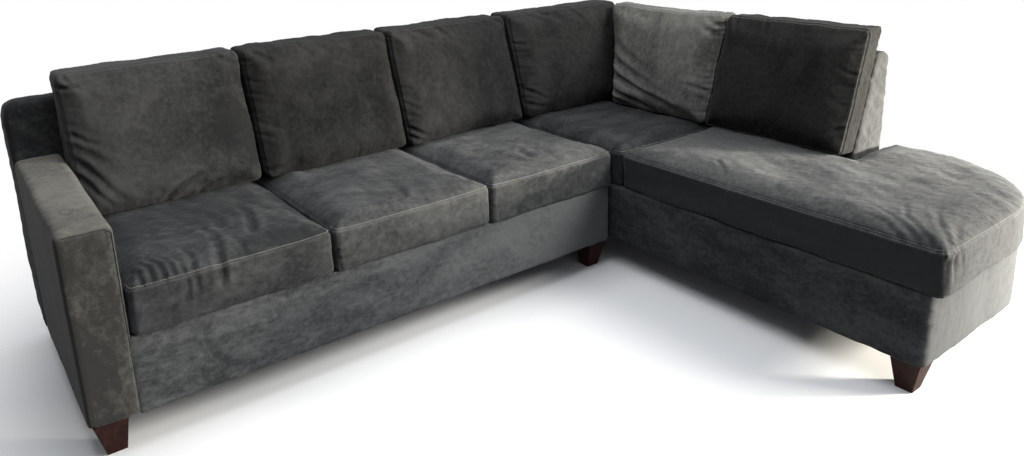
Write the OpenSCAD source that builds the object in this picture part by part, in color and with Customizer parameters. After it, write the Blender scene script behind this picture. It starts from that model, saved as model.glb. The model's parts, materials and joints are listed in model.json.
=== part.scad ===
// Sectional sofa: a sofa section with one arm, and a chaise section that turns the corner.
// Drawn from the floor up, with x from the arm's outer face to the right,
// y from the base front of the sofa section to the back, and the chaise forward of it.

/* [Plan of the sofa section] */
// Width of the arm
arm_w = 147; // [120:1:200]
// Width that each seat cushion of the sofa section takes
seat_w = 630; // [560:1:700]
// Depth of the seat, from the base front to the face of the back
seat_d = 732; // [690:1:750]
// Thickness of the back along the row at its top
row_top_t = 113; // [100:1:130]

/* [Plan of the chaise section] */
// Length of the chaise base forward of the sofa section's base front
chaise_l = 1312; // [1220:1:1500]
// Width of the chaise seat, to the face of the side back
chaise_seat_w = 594; // [560:1:620]
// Thickness of the side back at its top
side_top_t = 93; // [85:1:120]
// Length of the side back forward of the sofa section's base front
side_back_l = 716; // [640:1:800]
// How far the rounded end of the base stands out past the side back
bumper_out = 60; // [45:1:80]
// Radius of the rounded end of the base
bumper_r = 300; // [270:1:340]
// Radius of the rounded end of the chaise cushion
cushion_end_r = 450; // [400:1:480]
// Where the corner cushion ends, forward of the sofa section's base front
corner_seam = 50; // [20:1:90]

/* [Heights] */
// Height of the feet
foot_h = 114; // [90:1:130]
// Height of the base, from the top of the feet to the deck
base_h = 247; // [230:1:270]
// Height of a seat cushion at its top seam
seat_t = 144; // [120:1:170]
// Rise of a seat cushion from its top seam to the middle
seat_crown = 24; // [14:1:34]
// Distance from the top seam of a seat cushion to where its crown levels out
seat_crown_reach = 80; // [60:1:110]
// Height of the arm at the front
arm_h = 703; // [650:1:740]
// Rise of the arm towards the back
arm_rise = 25; // [5:1:40]
// Height of the back
back_h = 913; // [870:1:950]
// Slope of the face of the back, in degrees from upright
back_rake = 16.5; // [12:0.5:17]
// Height of a back cushion
back_cushion_h = 488; // [440:1:520]

/* [Cushions] */
// How far a seat cushion stands out past the base front
seat_over = 15; // [5:1:30]
// How far the chaise cushion stands out past the end of its base
end_over = 38; // [20:1:45]
// How far the chaise cushion stands out past the section side of its base
side_over = 7; // [0:1:8]
// Depth of the sewn side panel of a back cushion in the sofa row and the corner
row_gusset = 140; // [110:1:150]
// Depth of the sewn side panel of a back cushion on the side back
side_gusset = 84; // [70:1:100]
// Swell of a back cushion at the front
front_crown = 38; // [25:1:45]
// Swell of a back cushion at the rear
rear_crown = 28; // [20:1:34]
// Distance from the seams of a back cushion to where its swell levels out
back_crown_reach = 130; // [100:1:150]
// Gap between two cushions side by side
cushion_gap = 2; // [1:0.5:4]
// How far the side of a cushion draws in between its corners
draw_in = 6; // [2:1:10]
// Thickness of the wadding between a cushion's cover and its core
wadding = 16; // [12:1:22]
// Clearance of a loose cushion from what it rests on
rest_gap = 0.3; // [0.2:0.1:0.5]

/* [Upholstery and frame] */
// Thickness of the padding and cloth over the frame
pad_t = 16; // [12:1:20]
// Thickness of the frame boards
board_t = 22; // [18:1:25]
// Thickness of the felt deck over the springs
deck_t = 16; // [10:1:20]
// Thickness of the dust cover cloth
dust_t = 1.5; // [1:0.5:2.5]
// Radius of the arm's top edges
arm_edge_r = 20; // [12:1:30]
// Radius of the arm's upright front corners
arm_corner_r = 24; // [14:1:34]
// Radius of the back's top edges
back_edge_r = 36; // [26:1:40]
// Radius of the back's outer top corner above the arm
back_corner_r = 50; // [30:1:60]
// Radius of the upright corners of the base covers
base_corner_r = 30; // [22:1:40]

/* [Seat springs] */
// Thickness of the spring wire
wire_t = 3.8; // [3:0.1:4.5]
// Width of a spring across its bars
spring_w = 56; // [46:1:64]
// Distance between two bars of a spring
spring_pitch = 32; // [28:1:40]
// Number of springs under each seat cushion of the sofa section
springs_per_seat = 4; // [3:1:5]
// Number of springs across the chaise section
chaise_springs = 11; // [8:1:13]
// Thickness of the clip metal
clip_t = 1.5; // [1:0.1:2]
// Length of a clip along its rail
clip_l = 20; // [14:1:22]

/* [Feet and fasteners] */
// Width of a foot at the top
foot_top = 94; // [80:1:100]
// Width of a foot at the floor
foot_tip = 54; // [45:1:70]
// How far a foot's tip stands in towards the middle of the section
foot_shift = 8; // [0:1:14]
// Distance from the outside of the base to the middle of a foot
foot_inset = 60; // [58:1:70]
// Width of the steel plate on top of a foot
plate_w = 64; // [50:1:70]
// Thickness of the steel plate
plate_t = 2.5; // [2:0.5:4]
// Radius of the foot bolt
bolt_r = 4; // [3:0.5:5]
// Depth of the foot bolt in the foot, and in the block above it
bolt_depth = 32; // [25:1:40]
// Width of a connector channel
channel_w = 90; // [70:1:110]
// Height of a connector channel
channel_h = 60; // [45:1:80]
// Thickness of the connector metal
connector_t = 2; // [1.5:0.5:2.5]
// Running clearance of the connector tongue in its channel
tongue_gap = 0.3; // [0.2:0.1:0.5]

/* [Hidden] */

cloth = "#4a4b4d";
timber = "#b98f5e";
foot_wood = "#3c1712";
steel = "#a8abae";
foam = "#e8dfb8";
felt = "#26272a";

// Heights from the floor up
hem_gap = 1;
cover_z = foot_h + hem_gap;
frame_z = foot_h + plate_t;
base_z = foot_h + base_h;
clip_h = wire_t + 2 * clip_t;
rail_z = base_z - deck_t - clip_h;
low_rail_h = 92;
low_z = frame_z + low_rail_h;
seat_z = base_z + rest_gap;
knee_z = base_z + seat_t;
seat_top_z = seat_z + seat_t + seat_crown;
cushion_z = seat_top_z + rest_gap;
rake = tan(back_rake);
arm_slope = atan(arm_rise / seat_d);
small = 0.01;

// Plan: the backs, the sofa section, the chaise section beside it, and the whole
back_slope = (back_h - knee_z) * rake;
row_back_t = back_slope + row_top_t;
side_back_t = back_slope + side_top_t;
sofa_d = seat_d + row_back_t;
chaise_w = chaise_seat_w + side_back_t;
// Play between the two sections beyond the thickness of their connectors
section_play = 0.4;
section_gap = 4 * connector_t + 2 * tongue_gap + section_play;
sofa_w = arm_w + 3 * seat_w;
chaise_x = sofa_w + section_gap;
overall_w = chaise_x + chaise_w + bumper_out + end_over;
front_reach = chaise_l + end_over;
bumper_cx = chaise_w + bumper_out - bumper_r;
bumper_cy = bumper_r - chaise_l;

// Puts the origin under the middle of the whole, on the floor
module in_place() translate([-overall_w / 2, (front_reach - sofa_d) / 2, 0]) children();
module at_chaise() translate([chaise_x, 0, 0]) children();

// A box between two corners
module board(low, high) translate(low) cube(high - low);
// A flat outline drawn across and upward, made solid along x or along y
module along_x(length) rotate([90, 0, 90]) linear_extrude(length) children();
module along_y(length) translate([0, length, 0]) rotate([90, 0, 0]) linear_extrude(length) children();

function arc(c, r, a0, a1, n = 6) = [for (k = [0:n]) c + r * [cos(a0 + (a1 - a0) * k / n), sin(a0 + (a1 - a0) * k / n)]];
// Points between p and q, pulled in to the left of the way from p to q
function pulled(p, q, pull, n = 3) = [
    for (k = [1:n]) let (s = k / (n + 1), d = (q - p) / norm(q - p))
    p + (q - p) * s + 4 * s * (1 - s) * pull * [-d.y, d.x]
];

// Cushion forms

// A closed skin through rings of equal count, each ring running the same way round
module skin(rings) {
    n = len(rings[0]);
    last = len(rings) - 1;
    polyhedron(
        points = [for (ring = rings) each ring],
        faces = concat(
            [[for (k = [0:n - 1]) k]],
            [for (j = [0:last - 1], k = [0:n - 1]) let (a = j * n, b = (j + 1) * n, m = (k + 1) % n) each
                [[a + k, b + k, b + m], [a + k, b + m, a + m]]],
            [[for (k = [n - 1:-1:0]) last * n + k]]
        ),
        convexity = 6
    );
}

// Outline of a rectangular pad, inset i from its seams, with sides drawn in between the corners.
// The side at u = 0 leans out by lean for each unit of height, the far side by far_lean.
function pad_outline(w, h, i, r, pull, foot_pull, lean = 0, far_lean = 0) = let (
    c = max(r - 0.3 * i, 8),
    a = i + c,
    points = concat(
        arc([a, a], c, 180, 270, 3), pulled([a, i], [w - a, i], foot_pull),
        arc([w - a, a], c, 270, 360, 3), pulled([w - i, a], [w - i, h - a], pull),
        arc([w - a, h - a], c, 0, 90, 3), pulled([w - a, h - i], [a, h - i], pull),
        arc([a, h - a], c, 90, 180, 3), pulled([i, h - a], [i, a], pull)
    )
) [for (p = points) [p.x - lean * p.y * (1 - p.x / w) + far_lean * p.y * p.x / w, p.y]];

// Inset and height of each ring of a seat cushion, from its flat bottom to its crown
seat_rings = [
    [seat_t / 18, 0], [0, seat_t / 12], [draw_in, seat_t / 2], [0, seat_t],
    for (s = [[0.12, 0.42], [0.38, 0.76], [0.68, 0.95], [1, 1]])
        [s[0] * seat_crown_reach, seat_t + s[1] * seat_crown]
];
seat_corner_r = 18;

module seat_form(w, d) skin([for (s = seat_rings) [for (p = pad_outline(w, d, s.x, seat_corner_r, draw_in, draw_in)) [p.x, p.y, s.y]]]);

// Outline of the chaise cushion, inset i from its seams, anticlockwise from its rear left corner
function chaise_outline(i) = let (
    left = i - side_over,
    right = chaise_seat_w - rest_gap - cushion_gap - i,
    rear = -corner_seam - cushion_gap / 2 - i,
    step = -side_back_l - cushion_gap - i,
    c = max(seat_corner_r - 0.3 * i, 8),
    toe = max(2 * seat_corner_r - 0.3 * i, 8),
    round_r = cushion_end_r - i,
    round_x = chaise_w + bumper_out + end_over - cushion_end_r,
    round_y = cushion_end_r - front_reach,
    wing = [round_x + round_r, step]
) concat(
    arc([left + c, rear - c], c, 90, 180, 3),
    pulled([left, rear - c], [left, i + toe - front_reach], draw_in, 5),
    arc([left + toe, i + toe - front_reach], toe, 180, 270, 4),
    arc([round_x, round_y], round_r, 270, 360, 10),
    arc(wing - [c, c], c, 0, 90, 3),
    [[right, step]],
    pulled([right, step], [right, rear - c], draw_in, 3),
    arc([right - c, rear - c], c, 0, 90, 3),
    pulled([right - c, rear], [left + c, rear], draw_in, 3)
);

module chaise_form() skin([for (s = seat_rings) [for (p = chaise_outline(s.x)) [p.x, p.y, s.y]]]);

// Inset and depth of each ring of a back cushion, from its rear face to its front
swell = [[0.09, 0.32], [0.31, 0.72], [0.62, 0.93], [1, 1]];
function back_rings(gusset, rear) = concat(
    rear > 0 ? [for (k = [3:-1:0]) [swell[k][0] * back_crown_reach, -swell[k][1] * rear]] : [],
    [[0, 0], [draw_in, gusset / 2], [0, gusset]],
    [for (s = swell) [s[0] * back_crown_reach, gusset + s[1] * front_crown]]
);
back_corner = 24;

// A back cushion leaning at the back's slope, its rear face at y = 0 at the foot
module back_form(w, gusset, rear, lean = 0, far_lean = 0) skin([
    for (s = back_rings(gusset, rear))
    [for (p = pad_outline(w, back_cushion_h, s.x, back_corner, draw_in, 0, lean, far_lean))
        [p.x, p.y * rake - rear - s.y, p.y]]
]);

// The fibre pad in a back cushion, and the space for it in the cover
module fill_form(w, gusset, rear, lean = 0, far_lean = 0) {
    // A cover without a crown at the rear has wadding there
    wall = rear > 0 ? 0 : wadding;
    skin([
        for (z = [wadding, back_cushion_h - wadding])
        [for (p = [[0, 1], [1, 1], [1, 0], [0, 0]])
            [
                wadding + p.x * (w - 2 * wadding) + z * (far_lean * p.x - lean * (1 - p.x)),
                z * rake - rear - wall - p.y * (gusset - wall), z
            ]]
    ]);
}

// The foam core of a seat cushion, rounded along its front top edge
core_edge_r = 34;
module core_form(w, d) translate([wadding, 0, 0]) along_x(w - 2 * wadding)
    polygon(concat(
        [[wadding, wadding], [d - wadding, wadding], [d - wadding, seat_t]],
        arc([wadding + core_edge_r, seat_t - core_edge_r], core_edge_r, 90, 180)
    ));

module chaise_core_form() translate([0, 0, wadding]) linear_extrude(seat_t - wadding) polygon(chaise_outline(wadding + draw_in));

// Where the cushions lie

module on_seat(n) translate([arm_w + n * seat_w + cushion_gap / 2, -seat_over, seat_z]) children();
seat_cushion_w = seat_w - cushion_gap;
seat_cushion_d = seat_over + seat_d - rest_gap;

module seat_cushion_cover(n) color(cloth) in_place() on_seat(n) difference() {
    seat_form(seat_cushion_w, seat_cushion_d);
    core_form(seat_cushion_w, seat_cushion_d);
}
module seat_cushion_core(n) color(foam) in_place() on_seat(n) core_form(seat_cushion_w, seat_cushion_d);

module at_corner_seat() at_chaise() translate([cushion_gap / 2, -corner_seam + cushion_gap / 2, seat_z]) children();
corner_cushion_w = chaise_seat_w - rest_gap - 1.5 * cushion_gap;
corner_cushion_d = corner_seam + seat_d - rest_gap - cushion_gap / 2;

module corner_cushion_cover() color(cloth) in_place() at_corner_seat() difference() {
    seat_form(corner_cushion_w, corner_cushion_d);
    core_form(corner_cushion_w, corner_cushion_d);
}
module corner_cushion_core() color(foam) in_place() at_corner_seat() core_form(corner_cushion_w, corner_cushion_d);

module chaise_cushion_cover() color(cloth) in_place() at_chaise() translate([0, 0, seat_z]) difference() {
    chaise_form();
    chaise_core_form();
}
module chaise_cushion_core() color(foam) in_place() at_chaise() translate([0, 0, seat_z]) chaise_core_form();

// Distance from the foot of the back's face to a cushion that leans on it, at the cushion's foot
face_at_cushion = (cushion_z - knee_z) * rake - rest_gap / cos(back_rake);

module on_row_back(x) translate([x, seat_d + face_at_cushion, cushion_z]) children();
module on_side_back(y) at_chaise() translate([chaise_seat_w + face_at_cushion, y, cushion_z]) rotate([0, 0, -90]) children();

module row_cushion_cover(n) color(cloth) in_place() on_row_back(arm_w + n * seat_w + cushion_gap / 2) difference() {
    back_form(seat_cushion_w, row_gusset, rear_crown);
    fill_form(seat_cushion_w, row_gusset, rear_crown);
}
module row_cushion_fill(n) color(foam) in_place() on_row_back(arm_w + n * seat_w + cushion_gap / 2)
    fill_form(seat_cushion_w, row_gusset, rear_crown);

// The corner's back cushion fills the corner: its far side leans out with the face of the side back
corner_back_w = chaise_seat_w - 1.5 * cushion_gap;
module corner_back_cushion_cover() color(cloth) in_place() on_row_back(chaise_x + cushion_gap / 2) difference() {
    back_form(corner_back_w, row_gusset, rear_crown, 0, rake);
    fill_form(corner_back_w, row_gusset, rear_crown, 0, rake);
}
module corner_back_cushion_fill() color(foam) in_place() on_row_back(chaise_x + cushion_gap / 2)
    fill_form(corner_back_w, row_gusset, rear_crown, 0, rake);

// The cushion on the side back starts at the front of the corner's back cushion and leans with it
side_start = seat_d + face_at_cushion - rear_crown - row_gusset - front_crown - cushion_gap;
side_mid = -corner_seam;
side_end = -side_back_l;
side_cushion_5_w = side_start - side_mid - cushion_gap / 2;
side_cushion_6_w = side_mid - side_end - cushion_gap / 2;

module side_cushion_5_cover() color(cloth) in_place() on_side_back(side_start) difference() {
    back_form(side_cushion_5_w, side_gusset, 0, rake);
    fill_form(side_cushion_5_w, side_gusset, 0, rake);
}
module side_cushion_5_fill() color(foam) in_place() on_side_back(side_start)
    fill_form(side_cushion_5_w, side_gusset, 0, rake);
module side_cushion_6_cover() color(cloth) in_place() on_side_back(side_mid - cushion_gap / 2) difference() {
    back_form(side_cushion_6_w, side_gusset, 0);
    fill_form(side_cushion_6_w, side_gusset, 0);
}
module side_cushion_6_fill() color(foam) in_place() on_side_back(side_mid - cushion_gap / 2)
    fill_form(side_cushion_6_w, side_gusset, 0);

// Backs and arm

// Section of a back, inset i, with its face at 0, upright to the knee and sloping above it
module back_section(i, thickness, low) {
    r = max(back_edge_r - i, 6);
    top = back_h - i;
    face_c = i + (top - r - knee_z) * rake + r / cos(back_rake);
    polygon(concat(
        [[i, low], [thickness - i, low]],
        arc([thickness - i - r, top - r], r, 0, 90),
        arc([face_c, top - r], r, 90, 180 - back_rake),
        [[i, knee_z]]
    ));
}

// The sofa section's back, with its outer top corner rounded over the arm
module sofa_back_form(i, low) intersection() {
    translate([i, seat_d, 0]) along_x(sofa_w - 2 * i) back_section(i, row_back_t, low);
    translate([0, seat_d - 1, 0]) along_y(row_back_t + 2) polygon(concat(
        [[i, low - 1], [sofa_w, low - 1], [sofa_w, back_h + 1], [i + back_corner_r, back_h + 1]],
        arc([back_corner_r, back_h - back_corner_r], back_corner_r - i, 90, 180)
    ));
}

// The chaise section's back along the row, and the side back that runs forward from the middle of its top
side_run = side_back_l + seat_d + back_slope + row_top_t / 2;
module chaise_back_form(i, low) at_chaise() translate([i, seat_d, 0]) along_x(chaise_w - 2 * i) back_section(i, row_back_t, low);
module side_back_form(i, low) at_chaise() translate([chaise_seat_w, i - side_back_l, 0])
    along_y(side_run - i) back_section(i, side_back_t, low);

tuck = 60;
module sofa_back_cover() color(cloth) in_place() difference() {
    sofa_back_form(0, cover_z);
    sofa_back_form(pad_t, cover_z - 1);
    // The cloth of the face is tucked in behind the deck, and open below that
    board([pad_t, seat_d - 1, cover_z - 1], [sofa_w - pad_t, seat_d + pad_t + small, base_z - tuck]);
}

// The space of the chaise section's back frame, which the two covers share
module chaise_back_inside() {
    chaise_back_form(pad_t, cover_z - 1);
    side_back_form(pad_t, cover_z - 1);
}

module chaise_back_cover() color(cloth) in_place() difference() {
    chaise_back_form(0, cover_z);
    chaise_back_inside();
    at_chaise() board([pad_t, seat_d - 1, cover_z - 1], [chaise_w - pad_t, seat_d + pad_t + small, base_z - tuck]);
}

module side_back_cover() color(cloth) in_place() difference() {
    side_back_form(0, cover_z);
    chaise_back_form(0, cover_z - 1);
    chaise_back_inside();
    at_chaise() board(
        [chaise_seat_w - 1, -side_back_l + pad_t, cover_z - 1],
        [chaise_seat_w + pad_t + small, seat_d + pad_t, base_z - tuck]
    );
    // Its end stands on the rounded end of the base
    at_chaise() board([chaise_seat_w - 1, -side_back_l - 1, cover_z - 1], [chaise_w - pad_t, pad_t - side_back_l + small, base_z]);
}

// Back frames

inner_r = max(back_edge_r - pad_t, 6);
inner_top = back_h - pad_t;
rail_face = pad_t + (inner_top - inner_r - knee_z) * rake + inner_r / cos(back_rake);
top_rail_h = 34;
mid_rail_h = 120;

module top_rail(length, thickness) translate([0, rail_face, inner_top - top_rail_h])
    cube([length, thickness - pad_t - inner_r - rail_face, top_rail_h]);
module mid_rail(length, thickness) translate([0, thickness - pad_t - board_t, knee_z - mid_rail_h / 2])
    cube([length, board_t, mid_rail_h]);

// Posts in the section of the back, notched for the rails that run along it
module posts(places, thickness, length) difference() {
    for (x = places) translate([x, 0, 0]) along_x(board_t) back_section(pad_t, thickness, low_z);
    top_rail(length, thickness);
    mid_rail(length, thickness);
}

// Swaps x and y, for what runs forward along the side back
module swapped() mirror([1, -1, 0]) children();

module sofa_back_frame() color(timber) in_place() intersection() {
    sofa_back_form(pad_t, frame_z);
    translate([pad_t, seat_d, 0]) {
        length = sofa_w - 2 * pad_t;
        joins = [for (k = [1:2]) arm_w + k * seat_w - board_t / 2 - pad_t];
        posts(concat([0, arm_w - pad_t, length - board_t], joins), row_back_t, length);
        top_rail(length, row_back_t);
        mid_rail(length, row_back_t);
    }
}

module chaise_back_frame() color(timber) in_place() at_chaise() {
    row_l = chaise_w - 2 * pad_t;
    translate([pad_t, seat_d, 0]) {
        posts([0, chaise_seat_w - 4 * board_t], row_back_t, row_l);
        top_rail(row_l, row_back_t);
        mid_rail(row_l, row_back_t);
    }
    side_l = side_back_l + seat_d - pad_t;
    mid_post = side_back_l - corner_seam - pad_t;
    translate([chaise_seat_w, pad_t - side_back_l, 0]) swapped() {
        posts([0, mid_post, side_l - 3 * board_t], side_back_t, side_l);
        top_rail(side_l + rail_face, side_back_t);
        mid_rail(side_l + row_back_t - pad_t - board_t, side_back_t);
    }
}

// The arm

// The arm inset i: a rounded section that rises to the back, with softened front corners
module arm_form(i, low) intersection() {
    r = max(arm_edge_r - i, 4);
    translate([0, 0, arm_h]) rotate([arm_slope, 0, 0]) translate([0, -sofa_d, 0]) along_y(2 * sofa_d) polygon(concat(
        [[i, -2 * arm_h], [arm_w - i, -2 * arm_h]],
        arc([arm_w - i - r, -i - r], r, 0, 90), arc([i + r, -i - r], r, 90, 180)
    ));
    translate([0, 0, low]) linear_extrude(2 * arm_h) arm_outline(i);
}

// Plan of the arm inset i, as far back as the back's outside
module arm_outline(i) {
    c = max(arm_corner_r - i, 4);
    polygon(concat(
        arc([i + c, i + c], c, 180, 270, 5), arc([arm_w - i - c, i + c], c, 270, 360, 5),
        [[arm_w - i, sofa_d - i], [i, sofa_d - i]]
    ));
}

module arm_cover() color(cloth) in_place() difference() {
    arm_form(0, cover_z);
    arm_form(pad_t, cover_z - 1);
    sofa_back_form(0, cover_z - 1);
}

// Three panels under a sloping top board, with low rails between them and a block for the foot
module arm_frame() color(timber) in_place() difference() {
    rear = seat_d - pad_t;
    front = pad_t + board_t;
    middle = (rear - board_t) / 2;
    bay_top = arm_h - pad_t - board_t;
    intersection() {
        arm_form(pad_t, frame_z);
        board([0, 0, frame_z], [arm_w, rear, 2 * arm_h]);
    }
    // The bays between the panels, under the top board
    for (bay = [[front, middle], [middle + board_t, rear - board_t]]) along_x(arm_w)
        polygon([
            [bay[0], low_z], [bay[1], low_z],
            [bay[1], bay_top + bay[1] * tan(arm_slope)], [bay[0], bay_top + bay[0] * tan(arm_slope)]
        ]);
    // Between the low rails the bays are open to the floor, except at the foot's block
    rail_in = pad_t + board_t;
    block_end = foot_inset + block_half;
    board([rail_in, block_end, frame_z - 1], [arm_w - rail_in, middle, low_z + 1]);
    board([block_end, front, frame_z - 1], [arm_w - rail_in, block_end + 1, low_z + 1]);
    board([rail_in, front, frame_z + block_h], [arm_w - rail_in, block_end + 1, low_z + 1]);
    board([rail_in, middle + board_t, frame_z - 1], [arm_w - rail_in, rear - board_t, low_z + 1]);
    translate([sofa_feet[0].x, sofa_feet[0].y, frame_z - 1]) cylinder(r = bolt_r, h = bolt_depth + 1, $fn = 48);
}

// Base frames

sofa_feet = [
    [foot_inset, foot_inset], [sofa_w - foot_inset, foot_inset],
    [foot_inset, sofa_d - foot_inset], [sofa_w - foot_inset, sofa_d - foot_inset]
];
block_half = foot_inset - pad_t - board_t;
block_h = 60;
rim_r = bumper_r - pad_t;
// The corners of the rounded end's block are let into the rim
let_in = 2;
block_reach = sqrt(pow(rim_r - board_t, 2) - pow(block_half, 2)) - block_half + let_in;
chaise_feet = [
    [foot_inset, foot_inset - chaise_l],
    [bumper_cx, bumper_cy] + block_reach * [cos(45), -sin(45)],
    [chaise_w / 2, board_t / 2 + block_half],
    [foot_inset, sofa_d - foot_inset], [chaise_w - foot_inset, sofa_d - foot_inset]
];
sofa_turns = [0, 0, 0, 0];
chaise_turns = [0, -45, 0, 0, 0];
// The way each foot's tip stands in, in the foot's own directions
sofa_leans = [[1, 1], [-1, 1], [1, -1], [-1, -1]];
chaise_leans = [[1, 1], [-1, 0], [0, 0], [1, -1], [-1, -1]];

// The block that a foot is bolted up into
module foot_block(place, turn = 0) translate([place.x, place.y, frame_z]) rotate(turn) difference() {
    translate([-block_half, -block_half, 0]) cube([2 * block_half, 2 * block_half, block_h]);
    translate([0, 0, -1]) cylinder(r = bolt_r, h = bolt_depth + 1, $fn = 48);
}

front_y = pad_t;
rear_y = sofa_d - pad_t - board_t;
spring_y = seat_d - 2 * board_t;
side_x = sofa_w - pad_t - board_t;

module sofa_base_frame() color(timber) in_place() {
    inner_y = front_y + board_t;
    mid_y = spring_y + board_t;
    // Front rail, end rails and the rear spring rail
    board([arm_w, front_y, frame_z], [side_x + board_t, inner_y, rail_z]);
    board([arm_w, inner_y, frame_z], [arm_w + board_t, mid_y, rail_z]);
    board([side_x, inner_y, frame_z], [side_x + board_t, mid_y, rail_z]);
    board([arm_w + board_t, spring_y, low_z], [side_x, mid_y, rail_z]);
    // Low rails that carry the back
    board([pad_t, rear_y, frame_z], [side_x + board_t, rear_y + board_t, low_z]);
    for (x = [arm_w, side_x]) board([x, mid_y, frame_z], [x + board_t, rear_y, low_z]);
    board([pad_t, seat_d, frame_z], [pad_t + board_t, rear_y, low_z]);
    // Stretchers under the joins of the seat cushions
    for (k = [1:2]) {
        x = arm_w + k * seat_w;
        board([x - board_t / 2, inner_y, frame_z], [x + board_t / 2, rear_y, low_z]);
    }
    for (k = [1:3]) foot_block(sofa_feet[k]);
}

chaise_spring_x = chaise_seat_w - 2 * board_t;
chaise_rail_x = chaise_w - pad_t - board_t;
bumper_x = chaise_w + bumper_out - pad_t - board_t;
end_y = pad_t - chaise_l;
step_y = -side_back_l - pad_t - board_t;

module chaise_base_frame() color(timber) in_place() at_chaise() {
    inner_x = pad_t + board_t;
    mid_y = spring_y + board_t;
    // Side rail, end rail, the bent rim of the rounded end, and the rails behind it
    board([pad_t, end_y + board_t, frame_z], [inner_x, mid_y, rail_z]);
    board([pad_t, end_y, frame_z], [bumper_cx, end_y + board_t, rail_z]);
    translate([0, 0, frame_z]) linear_extrude(rail_z - frame_z) polygon(concat(
        arc([bumper_cx, bumper_cy], rim_r, 270, 360, bumper_facets),
        arc([bumper_cx, bumper_cy], rim_r - board_t, 360, 270, bumper_facets)
    ));
    board([bumper_x, bumper_cy, frame_z], [bumper_x + board_t, step_y + board_t, rail_z]);
    board([chaise_spring_x + board_t, step_y, frame_z], [bumper_x, step_y + board_t, rail_z]);
    // Rail at the right-hand ends of the springs
    board([chaise_spring_x, end_y + board_t, low_z], [chaise_spring_x + board_t, mid_y, rail_z]);
    // Low rails and stretchers
    board([pad_t, rear_y, frame_z], [chaise_rail_x + board_t, rear_y + board_t, low_z]);
    board([pad_t, mid_y, frame_z], [inner_x, rear_y, low_z]);
    board([chaise_rail_x, step_y + board_t, frame_z], [chaise_rail_x + board_t, rear_y, low_z]);
    board([inner_x, step_y, frame_z], [chaise_spring_x + board_t, step_y + board_t, low_z]);
    for (y = [-board_t / 2, spring_y]) board([inner_x, y, frame_z], [chaise_rail_x, y + board_t, low_z]);
    // Shelf of the rounded end, let into its rim
    intersection() {
        translate([0, 0, rail_z - board_t]) linear_extrude(board_t) bumper_outline(pad_t + board_t / 2);
        board([chaise_spring_x + board_t, -chaise_l, 0], [bumper_x, step_y, rail_z]);
    }
    for (k = [0:4]) foot_block(chaise_feet[k], chaise_turns[k]);
}

// Covers of the bases

// Outline of the rounded end of the base, inset i, with the corners rounded to r or square
bumper_facets = 24;
module bumper_outline(i, r = 0) {
    top = -side_back_l - i;
    right = chaise_w + bumper_out - i;
    polygon(concat(
        [[i, top]], r > 0 ? arc([i + r, i + r - chaise_l], r, 180, 270) : [[i, i - chaise_l]],
        arc([bumper_cx, bumper_cy], bumper_r - i, 270, 360, bumper_facets),
        r > 0 ? arc([right - r, top - r], r, 0, 90) : [[right, top]]
    ));
}

module flat_box(low, high) translate(low) square(high - low);

// The space inside the walls of the chaise base
module chaise_inside() {
    flat_box([pad_t, -side_back_l - pad_t - 1], [chaise_seat_w, seat_d]);
    flat_box([pad_t, -side_back_l - pad_t - 1], [chaise_w, -side_back_l]);
    bumper_outline(pad_t);
}

module chaise_base_cover() color(cloth) in_place() at_chaise() translate([0, 0, cover_z]) linear_extrude(base_z - cover_z)
    difference() {
        union() {
            flat_box([0, -side_back_l - 1], [chaise_seat_w, seat_d]);
            bumper_outline(0, base_corner_r);
        }
        chaise_inside();
        flat_box([chaise_seat_w - 1, -side_back_l - 1], [chaise_w, seat_d + 1]);
        flat_box([pad_t, -side_back_l], [chaise_seat_w + 1, seat_d + 1]);
    }

module sofa_base_cover() color(cloth) in_place() translate([0, 0, cover_z]) linear_extrude(base_z - cover_z)
    difference() {
        polygon(concat(
            [[arm_w, 0]], arc([sofa_w - base_corner_r, base_corner_r], base_corner_r, 270, 360, 8),
            [[sofa_w, seat_d], [arm_w, seat_d]]
        ));
        flat_box([arm_w - 1, pad_t], [sofa_w - pad_t, seat_d + 1]);
    }

module sofa_deck() color(felt) in_place() board([arm_w, pad_t, base_z - deck_t], [sofa_w - pad_t, seat_d, base_z]);
module chaise_deck() color(felt) in_place() at_chaise() translate([0, 0, base_z - deck_t]) linear_extrude(deck_t) chaise_inside();

// Dust cover cloth under a frame, cut out round the foot plates
cut_gap = 1;
module dust_cover(feet, turns) translate([0, 0, frame_z - dust_t]) linear_extrude(dust_t) difference() {
    children();
    for (k = [0:len(feet) - 1]) translate(feet[k]) rotate(turns[k]) square(plate_w + 2 * cut_gap, center = true);
}

module sofa_dust_cover() color(felt) in_place() dust_cover(sofa_feet, sofa_turns) {
    flat_box([pad_t, seat_d], [sofa_w - pad_t, sofa_d - pad_t]);
    flat_box([arm_w, pad_t], [sofa_w - pad_t, seat_d + 1]);
    arm_outline(pad_t);
}

module chaise_dust_cover() color(felt) in_place() at_chaise() dust_cover(chaise_feet, chaise_turns) {
    bumper_outline(pad_t);
    flat_box([pad_t, -side_back_l - pad_t - 1], [chaise_w - pad_t, sofa_d - pad_t]);
}

// Springs and clips

// Half wave j of a spring's wire, on the side e from its middle line, for a pitch p
function half_wave(j, e, p, n = 3) = let (s = j % 2 == 0 ? 1 : -1, bar = (spring_w - p) / 2, y = (j + 0.5) * p) [
    for (k = [0:n]) let (a = -90 + 180 * k / n) [s * (bar + p / 2 * cos(a)) + e * cos(a), y + p / 2 * sin(a) + e * s * sin(a)]
];

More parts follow.
